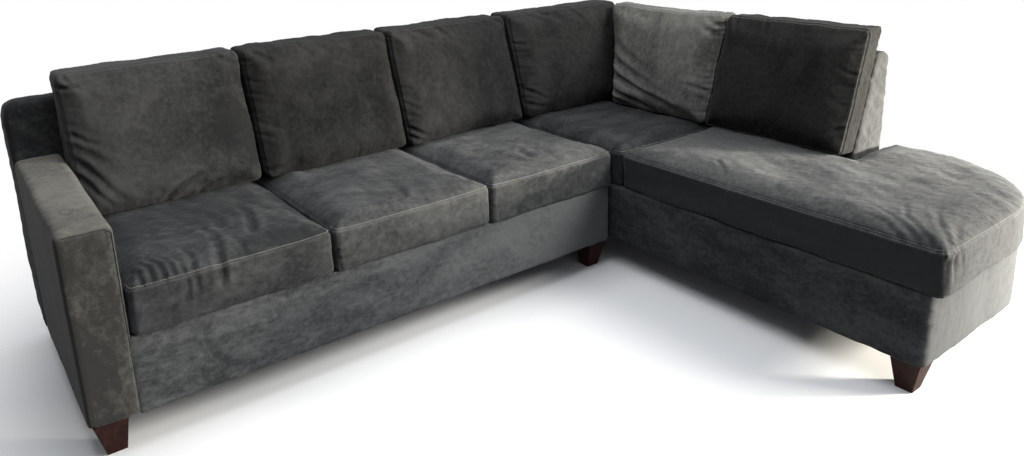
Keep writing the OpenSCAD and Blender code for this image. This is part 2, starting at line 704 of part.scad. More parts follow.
// A flat sinuous spring from y = 0 to y = span
module spring(span) {
    n = round(span / spring_pitch);
    p = span / n;
    e = wire_t / 2;
    bar = (spring_w - p) / 2;
    last = n % 2 == 0 ? -bar : bar;
    forth = concat([[-bar, -e]], [for (j = [0:n - 1]) each half_wave(j, e, p)], [[-last, n % 2 == 0 ? span - e : span + e]]);
    back = concat([[-bar, e]], [for (j = [0:n - 1]) each half_wave(j, -e, p)], [[-last, n % 2 == 0 ? span + e : span - e]]);
    linear_extrude(wire_t) polygon(concat(forth, [for (k = [len(back) - 1:-1:0]) back[k]]));
}

// A clip folded over the end bar of a spring, open towards the outside of the frame
clip_edge = 1;
module clip() translate([-clip_l / 2, 0, 0]) along_x(clip_l) {
    e = wire_t / 2;
    foot_end = clip_edge - board_t / 2;
    polygon([
        [foot_end, 0], [e + clip_t, 0], [e + clip_t, clip_h], [-e, clip_h],
        [-e, clip_h - clip_t], [e, clip_h - clip_t], [e, clip_t], [foot_end, clip_t]
    ]);
}

sofa_span = spring_y - front_y;
sofa_spring_x = [for (k = [0:2], i = [1:springs_per_seat]) arm_w + (k + (i - 0.5) / springs_per_seat) * seat_w];
chaise_span = chaise_spring_x - pad_t;
chaise_front_spring = end_y + board_t + spring_w;
chaise_rear_spring = spring_y - spring_w;
chaise_spring_y = [for (i = [0:chaise_springs - 1])
    chaise_front_spring + (chaise_rear_spring - chaise_front_spring) * i / (chaise_springs - 1)];

module on_sofa_rail(x) translate([x, front_y + board_t / 2, rail_z]) children();
module on_chaise_rail(y) at_chaise() translate([pad_t + board_t / 2, y, rail_z]) swapped() children();

module sofa_seat_springs() color(steel) in_place()
    for (x = sofa_spring_x) on_sofa_rail(x) translate([0, 0, clip_t]) spring(sofa_span);
module chaise_seat_springs() color(steel) in_place()
    for (y = chaise_spring_y) on_chaise_rail(y) translate([0, 0, clip_t]) spring(chaise_span);

// The two clips at the ends of a spring
module clip_pair(span) {
    clip();
    translate([0, span, 0]) mirror([0, 1, 0]) clip();
}
module sofa_spring_clips() color(steel) in_place() for (x = sofa_spring_x) on_sofa_rail(x) clip_pair(sofa_span);
module chaise_spring_clips() color(steel) in_place() for (y = chaise_spring_y) on_chaise_rail(y) clip_pair(chaise_span);

// Feet and what holds them

// Outline of a foot seen from one side, its outer edge sloping more than its inner one
function foot_side(lean) = let (tip = lean * foot_shift) [
    [tip - foot_tip / 2, 0], [tip + foot_tip / 2, 0], [foot_top / 2, foot_h], [-foot_top / 2, foot_h]
];
module foot(place, turn, lean) color(foot_wood) in_place() translate(place) rotate(turn) difference() {
    intersection() {
        translate([-foot_top / 2, 0, 0]) along_x(foot_top) polygon(foot_side(lean.y));
        translate([0, -foot_top / 2, 0]) along_y(foot_top) polygon(foot_side(lean.x));
    }
    translate([0, 0, foot_h - bolt_depth]) cylinder(r = bolt_r, h = bolt_depth + 1, $fn = 48);
}
function at_chaise_foot(k) = chaise_feet[k] + [chaise_x, 0];

module foot_bolts(feet) color(steel) in_place() for (p = feet) translate([p.x, p.y, foot_h - bolt_depth])
    cylinder(r = bolt_r, h = 2 * bolt_depth + plate_t, $fn = 48);
module foot_plates(feet, turns) color(steel) in_place() for (k = [0:len(feet) - 1])
    translate([feet[k].x, feet[k].y, foot_h]) rotate(turns[k]) difference() {
        translate([-plate_w / 2, -plate_w / 2, 0]) cube([plate_w, plate_w, plate_t]);
        translate([0, 0, -1]) cylinder(r = bolt_r, h = plate_t + 2, $fn = 48);
    }
chaise_foot_places = [for (k = [0:4]) at_chaise_foot(k)];

// Connectors: a channel on the sofa section, and a tongue that drops into it with the chaise section

connector_y = [150, 560];
connector_z = 170;
slot_t = connector_t + 2 * tongue_gap;
flange_w = 17;
wall_w = 3;
tab_rise = 20;

// On the far side for s = 1, mirrored to the near side for s = -1
module to_side(s) mirror([0, s < 0 ? 1 : 0, 0]) children();

module sofa_connector_channels() color(steel) in_place() for (y = connector_y) translate([sofa_w, y, connector_z]) {
    half = channel_w / 2;
    board([0, -half, 0], [connector_t, half, channel_h]);
    board([0, -half, 0], [2 * connector_t + slot_t, half, connector_t]);
    for (s = [-1, 1]) to_side(s) {
        board([0, half - wall_w, 0], [2 * connector_t + slot_t, half, channel_h]);
        board([connector_t + slot_t, half - flange_w, 0], [2 * connector_t + slot_t, half, channel_h]);
    }
}

module chaise_connector_tongues() color(steel) in_place() for (y = connector_y) translate([sofa_w, y, connector_z]) {
    half = channel_w / 2;
    low = connector_t + tongue_gap;
    tongue = half - wall_w - tongue_gap;
    web = half - flange_w - 2 * tongue_gap;
    board([connector_t + tongue_gap, -tongue, low], [2 * connector_t + tongue_gap, tongue, channel_h]);
    board([connector_t + tongue_gap, -web, low], [section_gap, web, channel_h]);
    board([section_gap - connector_t, -web, low], [section_gap, web, channel_h + tab_rise]);
}

sofa_base_frame();
sofa_seat_springs();
sofa_spring_clips();
sofa_deck();
sofa_base_cover();
arm_frame();
arm_cover();
sofa_back_frame();
sofa_back_cover();
sofa_dust_cover();
foot(sofa_feet[0], sofa_turns[0], sofa_leans[0]);  // sofa_foot_front_left
foot(sofa_feet[1], sofa_turns[1], sofa_leans[1]);  // sofa_foot_front_right
foot(sofa_feet[2], sofa_turns[2], sofa_leans[2]);  // sofa_foot_rear_left
foot(sofa_feet[3], sofa_turns[3], sofa_leans[3]);  // sofa_foot_rear_right
foot_bolts(sofa_feet);  // sofa_foot_bolts
foot_plates(sofa_feet, sofa_turns);  // sofa_foot_plates
sofa_connector_channels();
seat_cushion_cover(0);  // seat_cushion_1_cover
seat_cushion_core(0);  // seat_cushion_1_core
seat_cushion_cover(1);  // seat_cushion_2_cover
seat_cushion_core(1);  // seat_cushion_2_core
seat_cushion_cover(2);  // seat_cushion_3_cover
seat_cushion_core(2);  // seat_cushion_3_core
row_cushion_cover(0);  // back_cushion_1_cover
row_cushion_fill(0);  // back_cushion_1_fill
row_cushion_cover(1);  // back_cushion_2_cover
row_cushion_fill(1);  // back_cushion_2_fill
row_cushion_cover(2);  // back_cushion_3_cover
row_cushion_fill(2);  // back_cushion_3_fill
corner_back_cushion_cover();  // back_cushion_4_cover
corner_back_cushion_fill();  // back_cushion_4_fill
side_cushion_5_cover();  // back_cushion_5_cover
side_cushion_5_fill();  // back_cushion_5_fill
side_cushion_6_cover();  // back_cushion_6_cover
side_cushion_6_fill();  // back_cushion_6_fill
chaise_base_frame();
chaise_seat_springs();
chaise_spring_clips();
chaise_deck();
chaise_base_cover();
chaise_back_frame();
chaise_back_cover();
side_back_cover();
chaise_dust_cover();
foot(at_chaise_foot(0), chaise_turns[0], chaise_leans[0]);  // chaise_foot_front_left
foot(at_chaise_foot(1), chaise_turns[1], chaise_leans[1]);  // chaise_foot_front_right
foot(at_chaise_foot(2), chaise_turns[2], chaise_leans[2]);  // chaise_foot_middle
foot(at_chaise_foot(3), chaise_turns[3], chaise_leans[3]);  // chaise_foot_rear_left
foot(at_chaise_foot(4), chaise_turns[4], chaise_leans[4]);  // chaise_foot_rear_right
foot_bolts(chaise_foot_places);  // chaise_foot_bolts
foot_plates(chaise_foot_places, chaise_turns);  // chaise_foot_plates
chaise_connector_tongues();
corner_cushion_cover();
corner_cushion_core();
chaise_cushion_cover();
chaise_cushion_core();
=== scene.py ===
import json
import math

import bpy
import numpy as np
from mathutils import Matrix, Vector
from mathutils.kdtree import KDTree

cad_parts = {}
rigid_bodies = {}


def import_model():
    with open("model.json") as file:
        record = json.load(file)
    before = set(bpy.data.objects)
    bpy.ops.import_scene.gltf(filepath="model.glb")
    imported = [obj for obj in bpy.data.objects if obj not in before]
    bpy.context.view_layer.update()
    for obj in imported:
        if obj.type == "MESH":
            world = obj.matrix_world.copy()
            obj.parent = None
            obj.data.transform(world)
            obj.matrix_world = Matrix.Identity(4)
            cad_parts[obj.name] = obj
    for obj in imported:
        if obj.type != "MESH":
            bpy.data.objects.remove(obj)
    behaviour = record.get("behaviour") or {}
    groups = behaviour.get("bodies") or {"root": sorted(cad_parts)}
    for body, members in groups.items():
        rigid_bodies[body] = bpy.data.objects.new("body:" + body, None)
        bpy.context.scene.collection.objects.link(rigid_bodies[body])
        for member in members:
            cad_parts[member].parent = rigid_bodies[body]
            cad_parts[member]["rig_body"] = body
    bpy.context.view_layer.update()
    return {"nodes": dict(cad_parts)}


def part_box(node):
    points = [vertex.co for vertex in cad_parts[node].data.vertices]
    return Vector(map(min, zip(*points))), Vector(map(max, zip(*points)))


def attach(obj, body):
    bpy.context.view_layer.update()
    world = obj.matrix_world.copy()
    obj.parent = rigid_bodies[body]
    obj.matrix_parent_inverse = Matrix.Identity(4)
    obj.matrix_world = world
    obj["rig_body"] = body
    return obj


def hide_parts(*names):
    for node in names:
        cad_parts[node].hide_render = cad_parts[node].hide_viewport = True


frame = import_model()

nodes = frame["nodes"]


# Frames of both sections: sawn timber boards, glued and stapled. They stay as they were built,
# out of sight under the upholstery, and get the finish of raw frame timber.
class Value:
    """A number, colour or vector that flows between the nodes of a material."""

    def __init__(self, finish, socket):
        self.finish = finish
        self.socket = socket

    def maths(self, operation, *values):
        return self.finish.node("Math", {"operation": operation}, *values)

    def __add__(self, other):
        return self.maths("ADD", self, other)

    def __sub__(self, other):
        return self.maths("SUBTRACT", self, other)

    def __rsub__(self, other):
        return self.maths("SUBTRACT", other, self)

    def __mul__(self, other):
        return self.maths("MULTIPLY", self, other)

    def __abs__(self):
        return self.maths("ABSOLUTE", self)

    __radd__ = __add__
    __rmul__ = __mul__

    def over(self, low, high, start=0.0, end=1.0):
        """Runs smoothly from start to end as the value goes from low to high."""
        settings = {"interpolation_type": "SMOOTHSTEP"}
        return self.finish.node("MapRange", settings, self, low, high, start, end)


class Finish:
    """A material, or the room's light, and the nodes that make it."""

    def __init__(self, name, kind="materials"):
        self.material = getattr(bpy.data, kind).new(name)
        self.material.use_nodes = True
        self.tree = self.material.node_tree
        self.tree.nodes.clear()

    def node(self, kind, settings, *values, out=None, **named):
        made = self.tree.nodes.new("ShaderNode" + kind)
        for key, value in settings.items():
            if key == "stops":
                for stop, (place, colour) in zip(made.color_ramp.elements, value):
                    stop.position = place
                    stop.color = (*colour, 1)
            else:
                setattr(made, key, value)
        sockets = list(zip(made.inputs, values))
        for key, value in named.items():
            label = key.replace("_", " ")
            sockets.append((next(s for s in made.inputs if s.name == label and s.enabled), value))
        for socket, value in sockets:
            if isinstance(value, Value):
                self.tree.links.new(value.socket, socket)
            elif socket.type == "RGBA":
                socket.default_value = (*value, 1)
            else:
                socket.default_value = value
        outputs = [s for s in made.outputs if s.enabled and out in (None, s.name)]
        if outputs:
            return Value(self, outputs[0])

    def where(self, scale=(1, 1, 1), shift=(0, 0, 0)):
        """Places on the piece, stretched by scale and moved by shift."""
        place = self.node("TexCoord", {}, out="Object")
        return self.node("Mapping", {}, place, Scale=scale, Location=shift)

    def noise(self, place, scale, detail=2.0, rough=0.5, distortion=0.0):
        return self.node(
            "TexNoise", {}, Vector=place, Scale=scale, Detail=detail, Roughness=rough, Distortion=distortion
        )

    def patch(self, centre, size, amount):
        """A soft patch: amount at its centre, nothing beyond its size."""
        near = self.where([1 / s for s in size], [-c / s for c, s in zip(centre, size)])
        far = self.node("VectorMath", {"operation": "LENGTH"}, near, out="Value")
        return far.over(0.0, 1.0, amount, 0.0)

    def between(self, share, dark, light):
        return self.node("Mix", {"data_type": "RGBA"}, Factor=share, A=dark, B=light)

    def surface(self, colour, roughness, height, depth, **fixed):
        bump = self.node("Bump", {}, Strength=1.0, Distance=depth, Height=height)
        shader = self.node(
            "BsdfPrincipled", {}, Base_Color=colour, Roughness=roughness, Normal=bump, **fixed
        )
        self.node("OutputMaterial", {}, shader)
        return self.material


def wear(finish_material, *names):
    for name in names:
        materials = nodes[name].data.materials
        materials.clear()
        materials.append(finish_material)


def raw_timber():
    finish = Finish("frame_timber")
    grain = finish.noise(finish.where((3, 3, 24)), 6.0, 6.0, 0.6, 0.8)
    pores = finish.noise(finish.where((30, 30, 400)), 5.0, 3.0)
    colour = finish.between(grain.over(0.3, 0.7), (0.36, 0.22, 0.11), (0.6, 0.42, 0.25))
    return finish.surface(colour, 0.7 + 0.2 * pores, grain + pores * 0.5, 0.001)


wear(
    raw_timber(),
    "sofa_base_frame", "arm_frame", "sofa_back_frame", "chaise_base_frame", "chaise_back_frame",
)


# Seat springs, clips, foot plates, bolts and connectors. The springs are bare drawn steel, the clips, plates
# and bolts are zinc plated, and the connectors that join the two sections are pressed and painted black.
def metal(name, dark, light, roughness, metallic, scale):
    finish = Finish(name)
    scratches = finish.noise(finish.where((1, 1, 9)), scale, 5.0, 0.65)
    blotches = finish.noise(finish.where(), scale / 12, 3.0)
    colour = finish.between((scratches * 0.5 + blotches * 0.5).over(0.35, 0.65), dark, light)
    return finish.surface(colour, roughness + 0.25 * blotches, scratches, 0.0003, Metallic=metallic)


drawn_steel = metal("spring_wire", (0.3, 0.3, 0.31), (0.5, 0.5, 0.51), 0.3, 1.0, 300)
wear(drawn_steel, "sofa_seat_springs", "chaise_seat_springs")
zinc = metal("zinc_plate", (0.48, 0.5, 0.52), (0.68, 0.68, 0.66), 0.25, 1.0, 180)
wear(zinc, "sofa_spring_clips", "chaise_spring_clips", "sofa_foot_plates", "chaise_foot_plates")
wear(zinc, "sofa_foot_bolts", "chaise_foot_bolts")
black_paint = metal("connector_paint", (0.012, 0.012, 0.013), (0.03, 0.03, 0.032), 0.4, 0.0, 120)
wear(black_paint, "sofa_connector_channels", "chaise_connector_tongues")


# Feet: tapered blocks of hardwood, stained dark mahogany and lacquered, each screwed up into a plate.
def mahogany():
    finish = Finish("foot_mahogany")
    figure = finish.noise(finish.where((9, 9, 1.4)), 9.0, 5.0, 0.6, 1.2)
    pores = finish.noise(finish.where((90, 90, 5)), 9.0, 3.0, 0.7)
    shade = figure.over(0.3, 0.72) * (1 - 0.35 * pores.over(0.55, 0.75))
    colour = finish.between(shade, (0.010, 0.0028, 0.0024), (0.042, 0.010, 0.007))
    return finish.surface(colour, 0.42 + 0.2 * pores, pores, 0.0004, Specular_IOR_Level=0.3)


feet = [name for name in nodes if "_foot_" in name and not name.endswith(("plates", "bolts"))]
wear(mahogany(), *feet)


# Decks: needled felt laid over the springs, on which the loose cushions rest. It dips a little between
# the springs, which show through as soft ridges. Dust covers: thin cloth stapled under each frame.
def points(piece):
    """The places of a piece's vertices, one row each."""
    flat = np.empty(len(piece.data.vertices) * 3)
    piece.data.vertices.foreach_get("co", flat)
    return flat.reshape(-1, 3)


def move_to(piece, places):
    piece.data.vertices.foreach_set("co", places.astype(np.float32).ravel())
    piece.data.update()


def normals(piece):
    flat = np.empty(len(piece.data.vertices) * 3)
    piece.data.vertex_normals.foreach_get("vector", flat)
    return flat.reshape(-1, 3)


def choose(piece):
    bpy.ops.object.select_all(action="DESELECT")
    piece.select_set(True)
    bpy.context.view_layer.objects.active = piece


def dress(piece, material, node_names, slot):
    """Gives a finished piece its material, its body and the nodes it stands for. Its slot is not used."""
    piece.data.materials.clear()
    piece.data.materials.append(material)
    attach(piece, nodes[node_names[0]]["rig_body"])
    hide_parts(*node_names)


def add(name, data):
    """Puts a new object with this data in the scene."""
    added = bpy.data.objects.new(name, data)
    bpy.context.scene.collection.objects.link(added)
    return added


def flexible_copy(name, node_name, spacing):
    """A copy of a flat node, cut along even lines both ways so that it can dip and sag."""
    piece = add(name, nodes[node_name].data.copy())
    choose(piece)
    low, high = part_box(node_name)
    bpy.ops.object.mode_set(mode="EDIT")
    bpy.ops.mesh.select_all(action="SELECT")
    bpy.ops.mesh.remove_doubles(threshold=0.00002)
    for axis, across in ((0, (1, 0, 0)), (1, (0, 1, 0))):
        for line in np.arange(low[axis] + spacing, high[axis] - spacing / 3, spacing):
            bpy.ops.mesh.select_all(action="SELECT")
            bpy.ops.mesh.bisect(plane_co=(line, line, line), plane_no=across)
    bpy.ops.mesh.select_all(action="SELECT")
    bpy.ops.mesh.quads_convert_to_tris()
    bpy.ops.object.mode_set(mode="OBJECT")
    return piece


def felt(name, dark, light):
    finish = Finish(name)
    fibres = finish.noise(finish.where(), 700, 5.0, 0.7)
    lumps = finish.noise(finish.where(), 40, 3.0)
    colour = finish.between((fibres * 0.6 + lumps * 0.4).over(0.3, 0.7), dark, light)
    return finish.surface(colour, 0.85 + 0.1 * fibres, fibres + lumps, 0.0012)


def from_rim(places, low, high):
    """How far each place lies inside the rim of a flat node."""
    return np.minimum(places[:, :2] - np.array(low)[:2], np.array(high)[:2] - places[:, :2]).min(axis=1)


def deck(name, node_name, spring_node, along):
    piece = flexible_copy(name, node_name, 0.032)
    places = points(piece)
    low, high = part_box(node_name)
    springs = points(nodes[spring_node])
    spring_step = 0.056
    lines = np.unique(np.round(springs[:, along] / spring_step) * spring_step)
    near = np.abs(places[:, along, None] - lines[None, :]).min(axis=1)
    inside = from_rim(places, low, high)
    top = places[:, 2] > (low.z + high.z) / 2
    dip = 0.0025 * np.clip(inside / 0.08, 0, 1) * (1 - np.exp(-((near / 0.02) ** 2)))
    places[:, 2] -= dip * top
    move_to(piece, places)
    dress(piece, felt(name + "_felt", (0.018, 0.018, 0.02), (0.045, 0.045, 0.048)), [node_name], "deck_felt")


deck("sofa_felt_deck", "sofa_deck", "sofa_seat_springs", 0)
deck("chaise_felt_deck", "chaise_deck", "chaise_seat_springs", 1)


def dust_cover(name, node_name, sags):
    piece = flexible_copy(name, node_name, 0.045)
    places = points(piece)
    low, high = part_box(node_name)
    hang = np.zeros(len(places))
    for x, y, reach_x, reach_y, drop in sags:
        far = ((places[:, 0] - x) / reach_x) ** 2 + ((places[:, 1] - y) / reach_y) ** 2
        hang += drop * np.exp(-far)
    places[:, 2] -= hang * np.clip(from_rim(places, low, high) / 0.03, 0, 1)
    move_to(piece, places)
    cloth = felt(name + "_cloth", (0.012, 0.013, 0.015), (0.035, 0.037, 0.042))
    dress(piece, cloth, [node_name], "dust_cloth")


dust_cover(
    "sofa_dust_cloth", "sofa_dust_cover",
    [(-1.22, 0.36, 0.12, 0.1, 0.022), (-0.4, 0.62, 0.5, 0.25, 0.009)],
)
dust_cover(
    "chaise_dust_cloth", "chaise_dust_cover",
    [(0.95, -0.4, 0.25, 0.4, 0.009), (0.95, 0.6, 0.25, 0.25, 0.008)],
)


# Covers of the two bases: velvet over wadding on the front, end and side rails. The velvet is drawn over
# the top edge and stapled below, so the panels are flat and only ripple where they are pulled.
def uneven(places, size, seed):
    """Smooth random heights, mostly from -1 to 1, whose bumps lie about size apart."""
    draw = np.random.default_rng(seed)
    total = np.zeros(len(places))
    waves = 16
    for _ in range(waves):
        way = draw.normal(size=places.shape[1])
        way *= 2 * math.pi / (size * draw.uniform(0.7, 1.9) * np.linalg.norm(way))
        total += np.sin(places @ way + draw.uniform(0, 2 * math.pi))
    return total / math.sqrt(waves)


def measured(route):
    """A route as rows of points, the length of each step, and how far along it each point lies."""
    route = np.array(route, float)
    steps = np.linalg.norm(np.diff(route, axis=0), axis=1)
    return route, steps, np.concatenate([[0], np.cumsum(steps)])


def crease(cut, route, width, depth):
    """A fold along a route on the cut form: a groove between two soft ridges, fading towards its end."""
    route, steps, passed = measured(route)
    nearest = np.full(len(cut), np.inf)
    share = np.zeros(len(cut))
    for k, step in enumerate(steps):
        way = (route[k + 1] - route[k]) / step
        along = np.clip((cut - route[k]) @ way, 0, step)
        far = np.linalg.norm(cut - route[k] - along[:, None] * way, axis=1)
        closer = far < nearest
        nearest = np.where(closer, far, nearest)
        share = np.where(closer, (passed[k] + along) / passed[-1], share)
    q = nearest / width
    fade = np.minimum(share / 0.12, 1) * (1 - share) ** 0.7
    fade = np.maximum(fade, 0.0)
    return -depth * fade * (1 - q * q) * np.exp(-q * q / 2)


def face_outward():
    """Turns all faces of the chosen piece outward."""
    bpy.ops.object.mode_set(mode="EDIT")
    bpy.ops.mesh.select_all(action="SELECT")
    bpy.ops.mesh.normals_make_consistent(inside=False)
    bpy.ops.object.mode_set(mode="OBJECT")


def prism(name, outline, low, high, way):
    """A solid with a flat outline. way is the axis that it is drawn out along, from low to high."""
    bpy.ops.object.select_all(action="DESELECT")
    bpy.ops.mesh.primitive_circle_add(vertices=len(outline), radius=1, fill_type="NGON")
    piece = bpy.context.object
    piece.name = name
    piece.data.name = name
    flat = np.array([(a, b, low) for a, b in outline])
    move_to(piece, flat)
    bpy.ops.object.mode_set(mode="EDIT")
    bpy.ops.mesh.select_all(action="SELECT")
    bpy.ops.mesh.extrude_region_move(TRANSFORM_OT_translate={"value": (0, 0, high - low)})
    bpy.ops.object.mode_set(mode="OBJECT")
    order = {"x": (2, 0, 1), "y": (0, 2, 1), "z": (0, 1, 2)}[way]
    move_to(piece, points(piece)[:, order])
    face_outward()
    return piece


def soften(piece, edge, voxel):
    """Rounds the edges of a solid and covers it with an even net of small faces."""
    choose(piece)
    rounding = piece.modifiers.new("rounding", "BEVEL")
    rounding.width = edge
    rounding.segments = 4
    rounding.limit_method = "ANGLE"
    rounding.angle_limit = math.radians(40)
    net = piece.modifiers.new("net", "REMESH")
    net.mode = "VOXEL"
    net.voxel_size = voxel
    bpy.ops.object.modifier_apply(modifier="rounding")
    bpy.ops.object.modifier_apply(modifier="net")
    smooth(piece)


def smooth(piece):
    choose(piece)
    bpy.ops.object.shade_smooth()


def arc(cx, cy, r, start, end, steps):
    turn = np.radians(np.linspace(start, end, steps + 1))
    return [(cx + r * math.cos(t), cy + r * math.sin(t)) for t in turn]


def note(piece, label, values):
    """Keeps a number for each vertex, which the velvet reads."""
    mark = piece.data.attributes.new(label, "FLOAT", "POINT")
    mark.data.foreach_set("value", values.astype(np.float32))


def paint_light_and_nap(piece, left=0.0, front=0.0, top=0.0, more=None):
    """Paints light and shade on the velvet by which way each face turns, with more added for each vertex."""
    facing = normals(piece)
    nap = left * np.clip(-facing[:, 0], 0, 1) ** 2 + front * np.clip(-facing[:, 1], 0, 1) ** 2
    nap += top * np.clip(facing[:, 2], 0, 1) ** 2
    if more is not None:
        nap += more
    note(piece, "nap", nap)


def velvet(name, tone, warm=0.0, seed=0, marks=1.0, stitched=False, streak=(1, 1, 1), patches=(), extra=None):
    """Charcoal velvet: short pile that shows where it was brushed, with a faint sheen at grazing angles."""
    finish = Finish(name)
    shift = (seed * 1.7, seed * 0.9, seed * 2.3)
    place = finish.where(shift=shift)
    brushed = finish.noise(finish.where(streak, shift), 5.5, 4.0, 0.55, 0.7)
    broad = finish.noise(place, 2.2, 2.0, 0.5, 0.3)
    strokes = finish.noise(finish.where([3 * s for s in streak], shift), 8.0, 3.0, 0.6, 1.4)
    mottling = finish.noise(place, 60.0, 4.0, 0.6)
    grain = finish.noise(place, 230.0, 3.0, 0.6)
    pile = finish.noise(place, 1400.0, 2.0, 0.6)
    light = brushed.over(0.36, 0.64) * 0.40 + broad.over(0.38, 0.62) * 0.18 + strokes.over(0.4, 0.66) * 0.26
    # The painted light and shade kept on each vertex, by which way its face turns and in its folds, lighten
    # or darken the share
    nap = finish.node("Attribute", {"attribute_name": "nap"}, out="Fac")
    fine = (mottling - 0.5) + 0.8 * (grain - 0.5) + 0.4 * (pile - 0.5)
    share = 0.44 + marks * (light - 0.44) + fine + nap
    height = pile * 0.5 + mottling * 0.35 + strokes * 0.3
    if stitched:
        seam = finish.node("Attribute", {"attribute_name": "seam"}, out="Fac")
        line = abs(seam).over(0.0004, 0.0016, 1.0, 0.0)
        # Lighter band along each seam: partly rubbed pile, partly a painted highlight where the rounded seam
        # catches the light
        rubbed_and_lit_band = abs(seam).over(0.001, 0.010, 1.0, 0.0)
        share = share + 0.45 * rubbed_and_lit_band - 0.15 * line
        height = height - 1.2 * line
    for centre, size, amount in patches:
        share = share + finish.patch(centre, size, amount)
    if extra:
        share = share + extra(finish)
    share = share.maths("MINIMUM", share.maths("MAXIMUM", share, 0.0), 1.0)
    shades = []
    for heat in (-0.2, 0.25):
        w = warm + heat
        dark = [tone * c for c in (0.0203 + 0.002 * w, 0.0214, 0.0218 - 0.002 * w)]
        light = [tone * c for c in (0.0705 + 0.006 * w, 0.0722 + 0.002 * w, 0.0715 - 0.007 * w)]
        shades.append(finish.between(share, dark, light))
    # The cloth is painted a little cooler low down, as painted shade, and warmer towards the tops of the
    # backs, as painted warm light
    high_up = finish.node("SeparateXYZ", {}, finish.where(), out="Z")
    colour = finish.between(high_up.over(0.3, 0.95), *shades)
    gloss = min(tone, 1.0)
    return finish.surface(
        colour, 0.8 + 0.14 * mottling, height, 0.0007,
        Sheen_Weight=0.08 * gloss, Sheen_Roughness=0.4, Sheen_Tint=(0.85, 0.87, 0.9),
        Specular_IOR_Level=0.1 * gloss,
    )


pad = 0.016
low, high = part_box("sofa_base_cover")
round_corner = 0.03
tuck = 0.008
outline = [(low.x - tuck, low.y)]
outline += arc(high.x - round_corner, low.y + round_corner, round_corner, 270, 360, 6)
outline += [(high.x, high.y), (high.x - pad, high.y)]
outline += [(high.x - pad, low.y + pad), (low.x - tuck, low.y + pad)]
sofa_base = prism("sofa_base_upholstery", outline, low.z, high.z, "z")
soften(sofa_base, 0.005, 0.0075)
cut = points(sofa_base)
outward = normals(sofa_base)
# The top corner at the free end is rounded too, where the velvet is folded over the rail
top_round = 0.028
over_x = np.clip((cut[:, 0] - (high.x - top_round)) / top_round, 0, 1)
shaped = cut.copy()
bend = 1 - np.sqrt(1 - 0.96 * over_x**2)
fold_h = 0.06
shaped[:, 2] -= (cut[:, 2] > high.z - fold_h) * top_round * bend * ((cut[:, 2] - high.z + fold_h) / fold_h)
ripple = 0.0011 * uneven(cut * (1, 1, 0.45), 0.10, 3) + 0.0007 * uneven(cut, 0.035, 4)
hem = np.exp(-((cut[:, 2] - low.z) / 0.018))
ripple += 0.0007 * hem * uneven(cut[:, :2], 0.055, 5)
end_pull = np.exp(-(high.x - cut[:, 0]) / 0.05)
ripple += 0.0012 * end_pull * uneven(cut[:, 2:] + cut[:, :1] * 0.4, 0.03, 6)
move_to(sofa_base, shaped + outward * ripple[:, None])


def crescent(finish):
    """The mark that a hand left in the pile of the base: part of a ring, a little darker than the rest."""
    place = finish.where((1, 0, 1), (0.99, 0, -0.29))
    far = finish.node("VectorMath", {"operation": "LENGTH"}, place, out="Value")
    x = finish.node("SeparateXYZ", {}, place, out="X")
    z = finish.node("SeparateXYZ", {}, place, out="Z")
    ring = abs(far - 0.135).over(0.004, 0.016, 1.0, 0.0)
    return ring * (x + z).over(-0.16, -0.06, 1.0, 0.0) * -0.3


# Painted light: the base is painted lighter towards its free end
along = (cut[:, 0] - low.x) / (high.x - low.x)
paint_light_and_nap(sofa_base, more=0.75 * np.clip((along - 0.35) / 0.55, 0, 1))
base_cloth = velvet("sofa_base_velvet", 1.75, seed=1, streak=(0.5, 1, 1.3), extra=crescent)
dress(sofa_base, base_cloth, ["sofa_base_cover"], "velvet")

low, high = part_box("chaise_base_cover")
side_low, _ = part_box("side_back_cover")
bumper_r = 0.3
bumper = (high.x - bumper_r, low.y + bumper_r)


def chaise_base_line(i):
    """The outside of the chaise base, inset i, from its rear left corner round the end to the side back."""
    corner = round_corner - i * 0.7
    line = [(low.x + i, high.y)]
    line += arc(low.x + i + corner, low.y + i + corner, corner, 180, 270, 6)
    line += arc(bumper[0], bumper[1], bumper_r - i, 270, 360, 24)
    line += arc(high.x - i - corner, side_low.y - i - corner, corner, 0, 90, 6)
    line += [(side_low.x, side_low.y - i)]
    return line


outline = chaise_base_line(0) + chaise_base_line(pad)[::-1]
chaise_base = prism("chaise_base_upholstery", outline, low.z, high.z, "z")
soften(chaise_base, 0.005, 0.0085)
cut = points(chaise_base)
outward = normals(chaise_base)
ripple = 0.0011 * uneven(cut * (1, 1, 0.45), 0.12, 13) + 0.0006 * uneven(cut, 0.035, 14)
ripple += 0.0007 * np.exp(-((cut[:, 2] - low.z) / 0.018)) * uneven(cut[:, :2], 0.06, 15)
front_corner = np.array([low.x, low.y, high.z - 0.05])
at_corner = np.exp(-np.linalg.norm((cut - front_corner) * (1, 1, 0.4), axis=1) / 0.06)
ripple += 0.0024 * at_corner * uneven(cut[:, 2:] + 0.5 * cut[:, :1], 0.028, 16)
move_to(chaise_base, cut + outward * ripple[:, None])
# Painted light on the end, which faces the lamps, and a little painted shade on the left side
paint_light_and_nap(chaise_base, left=-0.08, front=0.8)
base_cloth = velvet("chaise_base_velvet", 1.25, seed=2, streak=(1, 0.5, 1.3))
dress(chaise_base, base_cloth, ["chaise_base_cover"], "velvet")


